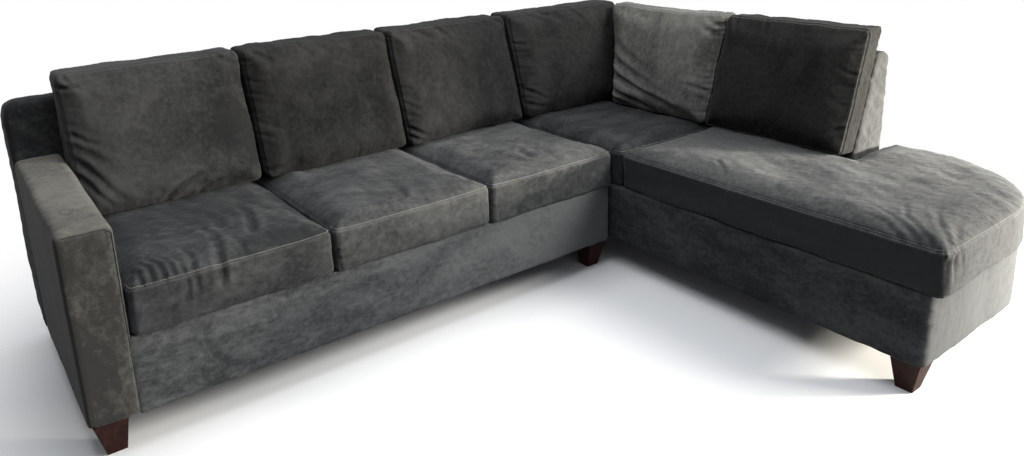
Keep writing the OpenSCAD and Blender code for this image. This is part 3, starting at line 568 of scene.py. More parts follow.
# The arm: velvet over wadding on a board frame. One strip runs up the outside, over the top and down the
# inside, and a front panel closes it, sewn in along a line near its inner edge.
def shell(piece, open_faces, thickness):
    """Opens a closed form where open_faces says, and gives the velvet and wadding left a thickness."""
    choose(piece)
    bpy.ops.object.mode_set(mode="EDIT")
    bpy.ops.mesh.select_all(action="DESELECT")
    bpy.ops.object.mode_set(mode="OBJECT")
    for face in piece.data.polygons:
        face.select = open_faces(face)
    bpy.ops.object.mode_set(mode="EDIT")
    bpy.ops.mesh.delete(type="FACE")
    bpy.ops.object.mode_set(mode="OBJECT")
    wall = piece.modifiers.new("wall", "SOLIDIFY")
    wall.thickness = thickness
    wall.offset = -1
    bpy.ops.object.modifier_apply(modifier="wall")
    smooth(piece)


low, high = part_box("arm_cover")
_, base_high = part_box("sofa_base_cover")
back_low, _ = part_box("sofa_back_cover")
edge_r = 0.020
arm_front_h = 0.703
back_angle = 16.5
rake = math.tan(math.radians(back_angle))
knee = 0.505
slope = (high.z - arm_front_h) / (high.y - low.y)
section = [(low.x, low.z), (high.x, low.z)]
section += arc(high.x - edge_r, arm_front_h - edge_r, edge_r, 0, 90, 6)
section += arc(low.x + edge_r, arm_front_h - edge_r, edge_r, 90, 180, 6)
arm = prism("arm_upholstery", section, low.y, back_low.y, "y")
soften(arm, 0.014, 0.0085)
cut = points(arm)
outward = normals(arm)
ahead = (cut[:, 1] - low.y) / (back_low.y - low.y)
rise = np.clip((cut[:, 2] - base_high.z) / (arm_front_h - base_high.z), 0, 1)
shaped = cut.copy()
shaped[:, 2] += slope * (cut[:, 1] - low.y) * rise
shaped[:, 1] += ahead**3 * (np.maximum(shaped[:, 2] - knee, 0) * rake + 0.004)
ripple = 0.0009 * uneven(cut * (1, 1, 0.3), 0.14, 23) + 0.0003 * uneven(cut, 0.04, 24)
top = np.clip((outward[:, 2] - 0.3) / 0.5, 0, 1)
ripple += 0.0006 * top * uneven(cut[:, 1:2] + 0.2 * cut[:, :1], 0.03, 25)
rear_fold = np.exp(-(((cut[:, 1] - (back_low.y - 0.045)) / 0.012) ** 2))
ripple -= 0.003 * top * rear_fold
in_front = np.clip((-outward[:, 1] - 0.5) / 0.3, 0, 1)
seam_x = high.x - 0.015
ripple -= 0.0022 * in_front * np.exp(-(((cut[:, 0] - seam_x) / 0.005) ** 2))
ripple -= 0.0016 * in_front * np.exp(-(((cut[:, 2] - (arm_front_h - 0.012)) / 0.006) ** 2))
beside_seam = np.exp(-(seam_x - cut[:, 0]) / 0.02)
ripple += 0.0012 * in_front * beside_seam * uneven(cut[:, 2:], 0.035, 26) * (cut[:, 0] < seam_x)
shaped += outward * ripple[:, None]
shaped[:, 0] = np.clip(shaped[:, 0], low.x - 0.001, high.x)
move_to(arm, shaped)
shell(arm, lambda face: face.normal.z < -0.5 and face.center.z < low.z + 0.02, pad)


def sunny_top(finish):
    """The top of the arm, brushed across by use and painted lighter where the light falls, and painted
    highlights on the edges of its front panel, the top one partly worn.
    """
    place = finish.node("TexCoord", {}, out="Object")
    x, y, z = (finish.node("SeparateXYZ", {}, place, out=axis) for axis in "XYZ")
    across = finish.noise(finish.where((1.2, 42, 1)), 3.0, 3.0, 0.6, 0.4)
    fine = finish.noise(finish.where((2, 130, 1)), 3.0, 2.0, 0.5, 0.2)
    lit_top = z.over(0.686, 0.716)
    in_front = y.over(low.y + 0.006, low.y + 0.016, 1.0, 0.0)
    inner_edge_highlight = abs(x - (high.x - 0.008)).over(0.002, 0.012, 1.0, 0.0) * in_front
    top_edge_worn_and_highlit = abs(z - 0.697).over(0.002, 0.012, 1.0, 0.0) * y.over(low.y + 0.02, low.y + 0.04, 1.0, 0.0)
    # Painted light on the top, and painted highlights on the front panel's edges
    return lit_top * (0.40 + 0.6 * (across - 0.5) + 0.45 * (fine - 0.5)) + inner_edge_highlight * 0.34 + top_edge_worn_and_highlit * 0.24


def welt(name, piece, route, radius, material, body):
    """A thin rolled seam laid on a piece along a route."""
    route, _, passed = measured(route)
    stops = np.linspace(0, passed[-1], int(passed[-1] / 0.008) + 2)
    curve = bpy.data.curves.new(name, "CURVE")
    curve.dimensions = "3D"
    curve.bevel_depth = radius
    curve.bevel_resolution = 2
    curve.use_fill_caps = True
    line = curve.splines.new("POLY")
    line.points.add(len(stops) - 1)
    for point, stop in zip(line.points, stops):
        place = Vector([np.interp(stop, passed, route[:, k]) for k in range(3)])
        _, on_cloth, up, _ = piece.closest_point_on_mesh(place)
        point.co = (*(on_cloth + up * radius * 0.25), 1)
    roll = add(name, curve)
    choose(roll)
    bpy.ops.object.convert(target="MESH")
    roll = bpy.context.object
    roll.data.materials.append(material)
    smooth(roll)
    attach(roll, body)


# Painted shade on the outside and on the front panel, which face away from the light
paint_light_and_nap(arm, left=-0.9, front=-0.30)
arm_cloth = velvet("arm_velvet", 1.75, warm=0.9, seed=3, streak=(1, 1, 0.5), extra=sunny_top)
dress(arm, arm_cloth, ["arm_cover"], "velvet")
edge = high.x - 0.006
welt(
    "arm_welt", arm,
    [
        (edge, low.y, low.z + 0.004), (edge, low.y, arm_front_h - 0.02),
        (edge - 0.015, low.y, arm_front_h - 0.006), (low.x + 0.02, low.y, arm_front_h - 0.006),
    ],
    0.0017, velvet("arm_welt_velvet", 1.25, warm=0.6, seed=31), nodes["arm_cover"]["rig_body"],
)


# The backs: velvet and wadding over board frames, upright outside and sloping inside. The sofa section's back
# ends in a rounded corner over the arm, and the chaise section's turns the corner and runs forward.
edge_r = 0.036


def back_profile(face, depth, top):
    """Section of a back from its face towards its outside, upright to the knee and sloping above it."""
    lean = edge_r / math.cos(math.radians(back_angle))
    face_c = face + (top - edge_r - knee) * rake + lean
    outside = face + depth
    line = [(face, low.z), (outside, low.z)]
    line += arc(outside - edge_r, top - edge_r, edge_r, 0, 90, 6)
    line += arc(face_c, top - edge_r, edge_r, 90, 180 - back_angle, 6)
    line += [(face, knee)]
    return line


low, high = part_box("sofa_back_cover")
sofa_back = prism("sofa_back_upholstery", back_profile(low.y, high.y - low.y, high.z), low.x, high.x, "x")
soften(sofa_back, 0.012, 0.012)
cut = points(sofa_back)
outward = normals(sofa_back)
shaped = cut.copy()
# The outer top corner over the arm is rounded in elevation
corner_r = 0.05
side = np.clip((low.x + corner_r - cut[:, 0]) / corner_r, 0, 1)
lift = np.clip((cut[:, 2] - (high.z - 0.3)) / 0.3, 0, 1)
shaped[:, 2] -= corner_r * (1 - np.sqrt(1 - 0.97 * side**2)) * lift
ripple = 0.0013 * uneven(cut * (1, 1, 0.5), 0.13, 33) + 0.0007 * uneven(cut, 0.04, 34)
at_end = np.exp(-(cut[:, 0] - low.x) / 0.06)
ripple += 0.0009 * at_end * uneven(cut[:, 1:], 0.045, 35)
rear = np.clip(outward[:, 1], 0, 1)
ripple += 0.0012 * rear * uneven(cut[:, :1] + 0.2 * cut[:, 2:], 0.09, 36)
move_to(sofa_back, shaped + outward * ripple[:, None])


def hidden(face):
    """The underside of the sofa's back, and the foot of its front, which stands behind the seat."""
    under = face.center.z < low.z + 0.02 and face.normal.z < -0.5
    foot = face.center.z < low.z + 0.18 and face.normal.y < -0.9
    return under or foot


shell(sofa_back, hidden, pad)
# Painted shade on the end over the arm, which faces away from the light
paint_light_and_nap(sofa_back, left=-0.3)
dress(sofa_back, velvet("sofa_back_velvet", 0.75, seed=4, marks=1.4), ["sofa_back_cover"], "velvet")

low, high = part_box("chaise_back_cover")
side_low, side_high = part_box("side_back_cover")
chaise_back = prism("chaise_back_upholstery", back_profile(low.y, high.y - low.y, high.z), low.x, high.x, "x")
side_profile = back_profile(side_low.x, side_high.x - side_low.x, side_high.z)
side_back = prism("side_back_form", side_profile, side_low.y, side_high.y, "y")
choose(side_back)
chaise_back.select_set(True)
bpy.context.view_layer.objects.active = chaise_back
bpy.ops.object.join()
soften(chaise_back, 0.010, 0.012)
cut = points(chaise_back)
outward = normals(chaise_back)
ripple = 0.0013 * uneven(cut * (1, 1, 0.5), 0.13, 43) + 0.0007 * uneven(cut, 0.04, 44)
end = np.exp(-(cut[:, 1] - side_low.y) / 0.05)
ripple += 0.002 * end * uneven(cut[:, 2:] + 0.9 * cut[:, :1], 0.05, 45)
roll = np.exp(-(((cut[:, 2] - (side_high.z - 0.1)) / 0.009) ** 2)) * np.clip(-outward[:, 1], 0, 1)
ripple -= 0.004 * roll
move_to(chaise_back, cut + outward * ripple[:, None])
shell(chaise_back, lambda face: face.normal.z < -0.5 and face.center.z < low.z + 0.02, pad)
# A little painted shade on faces turned left, and painted light on those turned to the front
paint_light_and_nap(chaise_back, left=-0.15, front=0.1)
dress(
    chaise_back,
    velvet("chaise_back_velvet", 0.95, warm=0.1, seed=5, streak=(1, 0.6, 0.6)),
    ["chaise_back_cover", "side_back_cover"],
    "velvet",
)


# Seat cushions: velvet covers on foam cores, with a top panel sewn to a side strip, topstitched along its
# front edge. Each is blown up as cloth from its cut form, then pressed flat by the deck and its neighbours.
def rounded(width, depth, r, i=0.0):
    """A rectangle with rounded corners, inset i."""
    c = max(r - 0.3 * i, 0.008)
    a = i + c
    line = arc(width - a, a, c, 270, 360, 5) + arc(width - a, depth - a, c, 0, 90, 5)
    return line + arc(a, depth - a, c, 90, 180, 5) + arc(a, a, c, 180, 270, 5)


def edge_of(places, outline):
    """How far each place lies from an outline, and how far along it the nearest point is."""
    corners = np.array(outline)
    nearest = np.full(len(places), np.inf)
    along = np.zeros(len(places))
    passed = 0.0
    for a, b in zip(corners, np.roll(corners, -1, axis=0)):
        step = np.linalg.norm(b - a)
        way = (b - a) / step
        t = np.clip((places - a) @ way, 0, step)
        far = np.linalg.norm(places - a - t[:, None] * way, axis=1)
        closer = far < nearest
        nearest = np.where(closer, far, nearest)
        along = np.where(closer, passed + t, along)
        passed += step
    return nearest, along


def blow_up(piece, seam, held, pressure, gather, cap):
    """Blows the piece up as cloth, with its seams drawn up, and caps how far each point moves."""
    before = points(piece)
    for label, chosen in (("seam", seam), ("held", held)):
        group = piece.vertex_groups.new(name=label)
        group.add(np.nonzero(chosen)[0].tolist(), 1.0, "REPLACE")
    cloth = piece.modifiers.new("cloth", "CLOTH")
    settings = cloth.settings
    settings.use_pressure = True
    settings.uniform_pressure_force = pressure
    settings.effector_weights.gravity = 0
    settings.quality = 4
    settings.vertex_group_shrink = "seam"
    settings.shrink_min = 0.0
    settings.shrink_max = gather
    if held.any():
        settings.vertex_group_mass = "held"
    last = 20
    cloth.point_cache.frame_start = 1
    cloth.point_cache.frame_end = last
    for moment in range(1, last + 1):
        bpy.context.scene.frame_set(moment)
    blown = piece.evaluated_get(bpy.context.evaluated_depsgraph_get())
    after = points(blown)
    piece.modifiers.remove(cloth)
    bpy.context.scene.frame_set(1)
    piece.vertex_groups.clear()
    move = after - before
    far = np.maximum(np.linalg.norm(move, axis=1), 1e-9)
    move_to(piece, before + move * (cap * np.tanh(far / cap) / far)[:, None])


def pressed(x, low, high, soft):
    """A coordinate kept between low and high, easing in over soft."""
    over = np.maximum(x - (high - soft), 0)
    x = np.where(over > 0, high - soft * np.exp(-over / soft), x)
    under = np.maximum(low + soft - x, 0)
    return np.where(under > 0, low + soft * np.exp(-under / soft), x)


def on_face(point, thick):
    """A point on a cushion's face, given across and up it. A third value says another depth."""
    return (*point, thick)[:3]


def cushion(
    name, outline, thick, crowns, reach, seed, size=0.010, pucker=0.0016, gathers=(), folds=(),
    sag=None, press=None, blow=(2.0, 0.012, 0.010), soft=0.003, give=0.005,
):
    """A sewn cushion in its own frame: outline in the first two directions, thickness in the third.
    Returns the piece, its cut form, which the seams, puckers and folds are placed on, and the painted shade
    and highlight of its folds."""
    piece = prism(name, outline(0.0), 0.0, thick, "z")
    soften(piece, 0.006, size)
    cut = points(piece)
    front_crown, rear_crown = crowns
    inset, _ = edge_of(cut[:, :2], outline(0.0))
    front = cut[:, 2] > thick / 2
    out = np.clip(inset / reach, 0, 1)
    swell = 1 - (1 - out) ** 3.0
    shaped = cut.copy()
    shaped[:, 2] += np.where(front, front_crown, -rear_crown) * swell * 0.9
    around = normals(piece)
    waist = np.sin(math.pi * np.clip(cut[:, 2] / thick, 0, 1)) * np.exp(-inset / 0.01)
    shaped[:, :2] -= around[:, :2] * (0.003 * waist)[:, None]
    move_to(piece, shaped)
    seam_dist = np.minimum(np.abs(cut[:, 2] - thick), np.abs(cut[:, 2])) + inset
    held = cut[:, 2] < 0.004 if rear_crown == 0 else np.zeros(len(cut), bool)
    blow_up(piece, seam_dist < 0.014, held, *blow)
    shaped = points(piece)
    shaped[:, :2] = cut[:, :2] + give * np.tanh((shaped - cut)[:, :2] / give)
    move_to(piece, shaped)
    record = piece.data.attributes.new("cut", "FLOAT_VECTOR", "POINT")
    record.data.foreach_set("vector", cut.astype(np.float32).ravel())
    choose(piece)
    finer = piece.modifiers.new("finer", "SUBSURF")
    finer.levels = 1
    finer.render_levels = 1
    bpy.ops.object.modifier_apply(modifier="finer")
    flat = np.empty(len(piece.data.vertices) * 3, np.float32)
    piece.data.attributes["cut"].data.foreach_get("vector", flat)
    cut = flat.reshape(-1, 3).astype(float)
    inset, along = edge_of(cut[:, :2], outline(0.0))
    front = cut[:, 2] > thick / 2
    from_front = np.where(front, inset + cut[:, 2] - thick, cut[:, 2] - thick)
    from_rear = np.where(front, -cut[:, 2], inset - cut[:, 2])
    seam = np.where(np.abs(from_front) < np.abs(from_rear), from_front, from_rear)
    shaped = points(piece)
    around = normals(piece)
    strength = 0.35 + 0.65 * np.clip(0.5 + 0.7 * uneven(along[:, None], 0.30, seed + 1), 0, 1)
    for spot, spread, more in gathers:
        far = np.linalg.norm(cut - on_face(spot, thick), axis=1)
        strength += more * np.exp(-((far / spread) ** 2))
    reach_in = np.where(seam > 0, 0.034, 0.024)
    drawn = uneven(along[:, None], 0.024, seed + 2) + 0.5 * uneven(along[:, None], 0.013, seed + 3)
    away = np.abs(seam)
    height = pucker * strength * drawn * np.exp(-away / reach_in) * np.minimum(away / 0.006 + 0.35, 1)
    height -= 0.0020 * np.exp(-((seam / 0.0045) ** 2))
    height += 0.0009 * np.exp(-(((away - 0.009) / 0.004) ** 2))
    height += 0.0022 * uneven(cut, 0.17, seed + 4) + 0.0010 * uneven(cut, 0.07, seed + 5)
    height += 0.0004 * uneven(cut, 0.028, seed + 6)
    drawn_in = np.zeros(len(cut))
    for route, width, depth in folds:
        drawn_in += crease(cut, [on_face(point, thick) for point in route], width, depth)
    height += drawn_in
    # Painted shade in the grooves of the folds and painted highlight on their ridges
    nap = np.clip(np.where(drawn_in < 0, 30, 90) * drawn_in, -0.35, 0.4)
    shaped += around * height[:, None]
    if sag is not None:
        shaped = sag(shaped, cut)
    corners = np.array(outline(0.0))
    a0, b0 = corners.min(axis=0)
    a1, b1 = corners.max(axis=0)
    limits = press or (a0, a1, b0, b1, -rear_crown, thick + front_crown + 0.012)
    shaped[:, 0] = pressed(shaped[:, 0], limits[0], limits[1], soft)
    shaped[:, 1] = pressed(shaped[:, 1], limits[2], limits[3], soft)
    shaped[:, 2] = pressed(shaped[:, 2], limits[4], limits[5], 0.0015 if rear_crown == 0 else 0.006)
    move_to(piece, shaped)
    note(piece, "seam", seam)
    piece.data.attributes.remove(piece.data.attributes["cut"])
    smooth(piece)
    return piece, cut, nap


def stitches(name, piece, cut, route, thickness, material):
    """A row of thread stitches along a route on the cut form, laid on the finished cloth."""
    spacing = 0.008
    length = 0.0055
    finished = points(piece)
    around = normals(piece)
    tree = KDTree(len(cut))
    for k, place in enumerate(cut):
        tree.insert(place, k)
    tree.balance()
    route, _, passed = measured(route)
    stops = np.arange(spacing / 2, passed[-1], spacing)
    line = np.stack([np.interp(stops, passed, route[:, k]) for k in range(3)], axis=1)
    places, ups = [], []
    for stop in line:
        found = tree.find_n(stop, 4)
        near = [k for _, k, _ in found]
        weight = np.array([1 / (far + 0.0008) for _, _, far in found])
        weight /= weight.sum()
        offset = stop - weight @ cut[near]
        places.append(weight @ finished[near] + offset * 0.8)
        ups.append(weight @ around[near])
    places, ups = np.array(places), np.array(ups)
    ways = np.gradient(places, axis=0)
    ways /= np.linalg.norm(ways, axis=1)[:, None]
    ups -= (ups * ways).sum(axis=1)[:, None] * ways
    ups /= np.linalg.norm(ups, axis=1)[:, None]
    sides = np.cross(ways, ups)
    # One stitch: a short thread, thick in the middle, whose ends dip into the cloth
    rings = [(-0.5, 0.35, -0.6), (-0.3, 0.9, 0.3), (0.0, 1.0, 0.5), (0.3, 0.9, 0.3), (0.5, 0.35, -0.6)]
    turns = np.radians([0, 60, 120, 180, 240, 300])
    shape = np.array([
        (x * length, math.cos(t) * r * thickness / 2, (math.sin(t) * r / 2 + rise) * thickness)
        for x, r, rise in rings for t in turns
    ])
    n, m = len(rings), len(turns)
    quads = [
        (j * m + k, j * m + (k + 1) % m, (j + 1) * m + (k + 1) % m, (j + 1) * m + k)
        for j in range(n - 1) for k in range(m)
    ]
    ends = [tuple(range(m))[::-1], tuple(range((n - 1) * m, n * m))]
    verts, faces = [], []
    for count, (place, way, side_way, up) in enumerate(zip(places, ways, sides, ups)):
        verts.append(place + shape[:, :1] * way + shape[:, 1:2] * side_way + shape[:, 2:] * up)
        faces += [tuple(v + count * len(shape) for v in face) for face in quads + ends]
    mesh = bpy.data.meshes.new(name)
    mesh.from_pydata(np.concatenate(verts).tolist(), [], faces)
    row = add(name, mesh)
    choose(row)
    face_outward()
    mesh.materials.append(material)
    smooth(row)
    return row


def thread(name, dark, light):
    finish = Finish(name)
    twist = finish.noise(finish.where(), 900, 2.0)
    colour = finish.between(twist.over(0.3, 0.7), dark, light)
    return finish.surface(colour, 0.55 + 0.2 * twist, twist, 0.0002, Sheen_Weight=0.2)


def filling(name, dark, light, scale, depth):
    finish = Finish(name)
    cells = finish.noise(finish.where(), scale, 6.0, 0.7)
    lumps = finish.noise(finish.where(), scale / 30, 2.0)
    colour = finish.between((cells * 0.6 + lumps * 0.4).over(0.3, 0.7), dark, light)
    return finish.surface(colour, 0.9 - 0.1 * cells, cells, depth)


def inside(name, node_name, outline, thick, rise, lay, material, slot, fill, lumps, seed, sag=None):
    """The foam or fibre inside a cushion: a block of the cover's form, a little smaller all round."""
    piece = prism(name, outline(0.018), 0.016, thick - 0.012, "z")
    soften(piece, 0.02, 0.018)
    cut = points(piece)
    inset, _ = edge_of(cut[:, :2], outline(0.018))
    swell = 1 - (1 - np.clip(inset / 0.12, 0, 1)) ** 3
    shaped = cut.copy()
    shaped[:, 2] += np.where(cut[:, 2] > thick / 2, rise[0], -rise[1]) * swell
    if sag is not None:
        shaped = sag(shaped, cut)
    shaped -= normals(piece) * (lumps * (1 + np.clip(uneven(cut, 0.09, seed), -1, 1)))[:, None]
    move_to(piece, lay(shaped))
    smooth(piece)
    dress(piece, material, [node_name], slot)


foam = filling("cut_foam", (0.62, 0.53, 0.32), (0.85, 0.78, 0.55), 400, 0.001)
seat_thread = thread("seat_topstitch", (0.19, 0.19, 0.175), (0.36, 0.36, 0.33))
crown = 0.024


def finish_cushion(piece, row, lay, node_name, material, fill, **tones):
    """Lays a cushion and its stitching in the room, and gives them their body and finish."""
    for part in [piece] + row:
        move_to(part, lay(points(part)))
    # Painted light and shade by which way each face of the cushion turns, and in its folds
    paint_light_and_nap(piece, **tones)
    dress(piece, material, [node_name], "velvet")
    for part in row:
        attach(part, nodes[node_name]["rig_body"])


def seat_cushion(name, node_name, seed, tone, gathers, folds, pucker=0.0007, warm=0.1, patches=(), **tones):
    low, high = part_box(node_name)
    width, depth = high.x - low.x, high.y - low.y
    thick = high.z - low.z - crown

    def outline(i):
        return rounded(width, depth, 0.018, i)

    piece, cut, nap = cushion(
        name, outline, thick, (crown, 0.0), 0.08, seed, pucker=pucker, gathers=gathers, folds=folds
    )
    inner = outline(0.006)
    front_edge = [(0.006, 0.05)] + inner[18:] + inner[:6] + [(width - 0.006, 0.05)]
    route = [(a, b, thick) for a, b in front_edge]
    row = stitches(name + "_topstitch", piece, cut, route, 0.0015, seat_thread)
    corner = np.array(low)
    material = velvet(name + "_velvet", tone, warm, seed, 1.0, True, (0.8, 1.6, 1), patches)
    finish_cushion(piece, [row], lambda p: p + corner, node_name, material, 0.8, more=nap, **tones)
    core = node_name.replace("cover", "core")
    inside(
        name + "_foam", core, outline, thick, (0.006, 0.0), lambda p: p + corner,
        foam, "foam", 0.95, 0.0005, seed + 50,
    )


seat_thick = 0.144
# The patch at the right end of each seat's front lightens it: a painted highlight where the light falls on
# that edge, partly rubbed pile
seat_cushion(
    "seat_cushion_1", "seat_cushion_1_cover", 101, 1.0,
    [((0.02, 0.0), 0.10, 1.5), ((0.6, 0.0, 0.02), 0.05, 2.0)],
    [
        (
            [(0.262, 0.0, seat_thick - 0.085), (0.268, 0.0), (0.292, 0.10), (0.300, 0.18), (0.285, 0.27)],
            0.014, 0.0085,
        ),
        ([(0.40, 0.10), (0.43, 0.19), (0.45, 0.29), (0.445, 0.40)], 0.016, 0.0075),
        ([(0.33, 0.19), (0.35, 0.28), (0.335, 0.40)], 0.018, 0.005),
        ([(0.19, 0.0), (0.20, 0.06), (0.19, 0.15)], 0.011, 0.004),
        ([(0.345, 0.0), (0.35, 0.07), (0.34, 0.14)], 0.011, 0.003),
        ([(0.045, 0.0), (0.044, 0.05), (0.02, 0.115)], 0.008, 0.005),
        ([(0.078, 0.0), (0.076, 0.06), (0.050, 0.13)], 0.008, 0.005),
        ([(0.108, 0.0), (0.105, 0.06), (0.078, 0.14)], 0.008, 0.0045),
        ([(0.138, 0.0), (0.135, 0.06), (0.108, 0.14)], 0.008, 0.004),
        ([(0.165, 0.0), (0.160, 0.05), (0.14, 0.12)], 0.008, 0.003),
        ([(0.165, 0.0, seat_thick - 0.006), (0.163, 0.0, 0.03)], 0.009, 0.004),
        ([(0.195, 0.0, seat_thick - 0.006), (0.19, 0.0, 0.05)], 0.009, 0.0035),
        ([(0.12, 0.0, 0.02), (0.125, 0.0, 0.12)], 0.010, 0.003),
    ],
    patches=[((-1.10, 0.75, 0.55), (0.35, 0.25, 0.3), -0.2), ((-0.72, 0.18, 0.42), (0.10, 0.3, 0.12), 0.35)],
    top=-0.34, front=0.06,
)
seat_cushion(
    "seat_cushion_2", "seat_cushion_2_cover", 201, 1.12,
    [((0.0, 0.0, 0.05), 0.06, 2.2), ((0.6, 0.0, 0.03), 0.05, 1.2)],
    [
        ([(0.0, 0.01, 0.05), (0.05, 0.0, 0.045), (0.11, 0.0, 0.05)], 0.008, 0.004),
        ([(0.0, 0.01, 0.075), (0.05, 0.0, 0.08), (0.08, 0.0, 0.083)], 0.007, 0.003),
        ([(0.30, 0.05), (0.34, 0.2), (0.33, 0.35)], 0.02, 0.003),
    ],
    patches=[((-0.10, 0.18, 0.42), (0.10, 0.3, 0.12), 0.3), ((-0.52, 0.3, 0.52), (0.2, 0.3, 0.1), 0.18)],
    top=-0.05, front=0.14,
)
seat_cushion(
    "seat_cushion_3", "seat_cushion_3_cover", 301, 1.15,
    [((0.0, 0.0, 0.06), 0.06, 1.8)],
    [
        ([(0.0, 0.01, 0.07), (0.05, 0.0, 0.06), (0.09, 0.0, 0.06)], 0.007, 0.003),
        ([(0.28, 0.10), (0.31, 0.25), (0.29, 0.4)], 0.02, 0.0025),
    ],
    patches=[((0.53, 0.18, 0.42), (0.08, 0.3, 0.12), 0.3)],
    top=0.03, front=0.1,
)
seat_cushion(
    "corner_seat_cushion", "corner_cushion_cover", 401, 0.7,
    [((0.0, 0.0), 0.07, 1.2)],
    [([(0.3, 0.72), (0.36, 0.5), (0.44, 0.38)], 0.02, 0.003)],
    warm=-0.1,
)


# The chaise cushion: as the seat cushions, with a rounded end that follows the base and a wing in front of
# the side back. Its end is soft and drawn into small folds at the toe.
low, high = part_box("chaise_cushion_cover")
side_low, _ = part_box("side_back_cover")
end_r = 0.45
gap = 0.0025
thick = high.z - low.z - crown


def chaise_line(i):
    """The chaise cushion's outline, inset i, in its own frame."""
    left, right = i, high.x - low.x - i
    front, rear = i, high.y - low.y - i
    inner = side_low.x - low.x - gap - i
    step = side_low.y - low.y - gap - i
    c = max(0.018 - 0.3 * i, 0.008)
    toe = max(0.036 - 0.3 * i, 0.008)
    line = arc(left + toe, front + toe, toe, 180, 270, 5)
    line += arc(high.x - low.x - end_r, end_r, end_r - i, 270, 360, 18)
    line += arc(right - c, step - c, c, 0, 90, 5)
    line += [(inner, step)]
    line += arc(inner - c, rear - c, c, 0, 90, 5)
    line += arc(left + c, rear - c, c, 90, 180, 5)
    return line


piece, cut, nap = cushion(
    "chaise_seat_cushion", chaise_line, thick, (crown, 0.0), 0.08, 501, size=0.0115, pucker=0.0008,
    gathers=[((0.02, 0.02), 0.12, 2.0), ((0.0, 1.25), 0.08, 1.0)],
    folds=[
        ([(0.0, 0.03), (0.05, 0.10), (0.13, 0.19), (0.24, 0.25)], 0.011, 0.0035),
        ([(0.0, 0.07), (0.06, 0.16), (0.12, 0.26), (0.16, 0.36)], 0.011, 0.003),
        ([(0.03, 0.0), (0.11, 0.07), (0.22, 0.14), (0.33, 0.17)], 0.011, 0.003),
        ([(0.07, 0.0), (0.17, 0.05), (0.30, 0.09)], 0.010, 0.0025),
        ([(0.0, 0.13), (0.05, 0.22), (0.07, 0.32)], 0.010, 0.0025),
        ([(0.148, 0.93), (0.10, 0.87), (0.05, 0.82)], 0.012, 0.005),
        ([(0.02, 0.012, thick - 0.01), (0.02, 0.012, 0.02)], 0.010, 0.004),
        ([(0.055, 0.0, thick - 0.01), (0.06, 0.0, 0.02)], 0.010, 0.004),
        ([(0.10, 0.0, thick - 0.02), (0.11, 0.0, 0.04)], 0.011, 0.003),
    ],
)
inner = chaise_line(0.006)
row = stitches(
    "chaise_cushion_topstitch", piece, cut, [(a, b, thick) for a, b in inner + inner[:1]],
    0.0014, thread("chaise_topstitch", (0.14, 0.135, 0.125), (0.26, 0.25, 0.23)),
)
corner = np.array(low)
# Painted shade on its left side, painted light on its front, the painted shade and highlight of its folds,
# and darker towards its front end
finish_cushion(
    piece, [row], lambda p: p + corner, "chaise_cushion_cover",
    velvet("chaise_seat_velvet", 1.55, 0.2, 9, 0.4, True, streak=(0.8, 0.8, 1)), 0.8,
    left=-0.5, front=0.3, more=0.6 * nap - 0.2 * np.clip(1 - cut[:, 1] / 0.8, 0, 1),
)
inside(
    "chaise_foam", "chaise_cushion_core", chaise_line, thick, (0.006, 0.0), lambda p: p + corner,
    foam, "foam", 0.95, 0.0005, 551,
)


# Back cushions: velvet covers stuffed with fibre, with a sewn side panel that the seams pull into puckers.
# They stand on the seat cushions and lean on the backs, plump in front and drooping at their upper corners.
back_reach = 0.13
front_crown = 0.038


def lay_on_row(x, y, z, rear_crown, spread):
    """Stands a cushion on the seat, leaning on the row's back. Only the corner's is spread at its top."""
    return lambda p: np.stack([
        x + p[:, 0] * (1 + spread * p[:, 1]),
        y + p[:, 1] * rake - rear_crown - p[:, 2],
        z + p[:, 1],
    ], axis=1)


def lay_on_side(x, y, z, lean, width):
    """Stands a cushion on the seat, leaning on the side back. Its rear edge leans back by lean."""
    return lambda p: np.stack([
        x + p[:, 1] * rake - p[:, 2],
        y - p[:, 0] + lean * p[:, 1] * (1 - p[:, 0] / width),
        z + p[:, 1],
    ], axis=1)


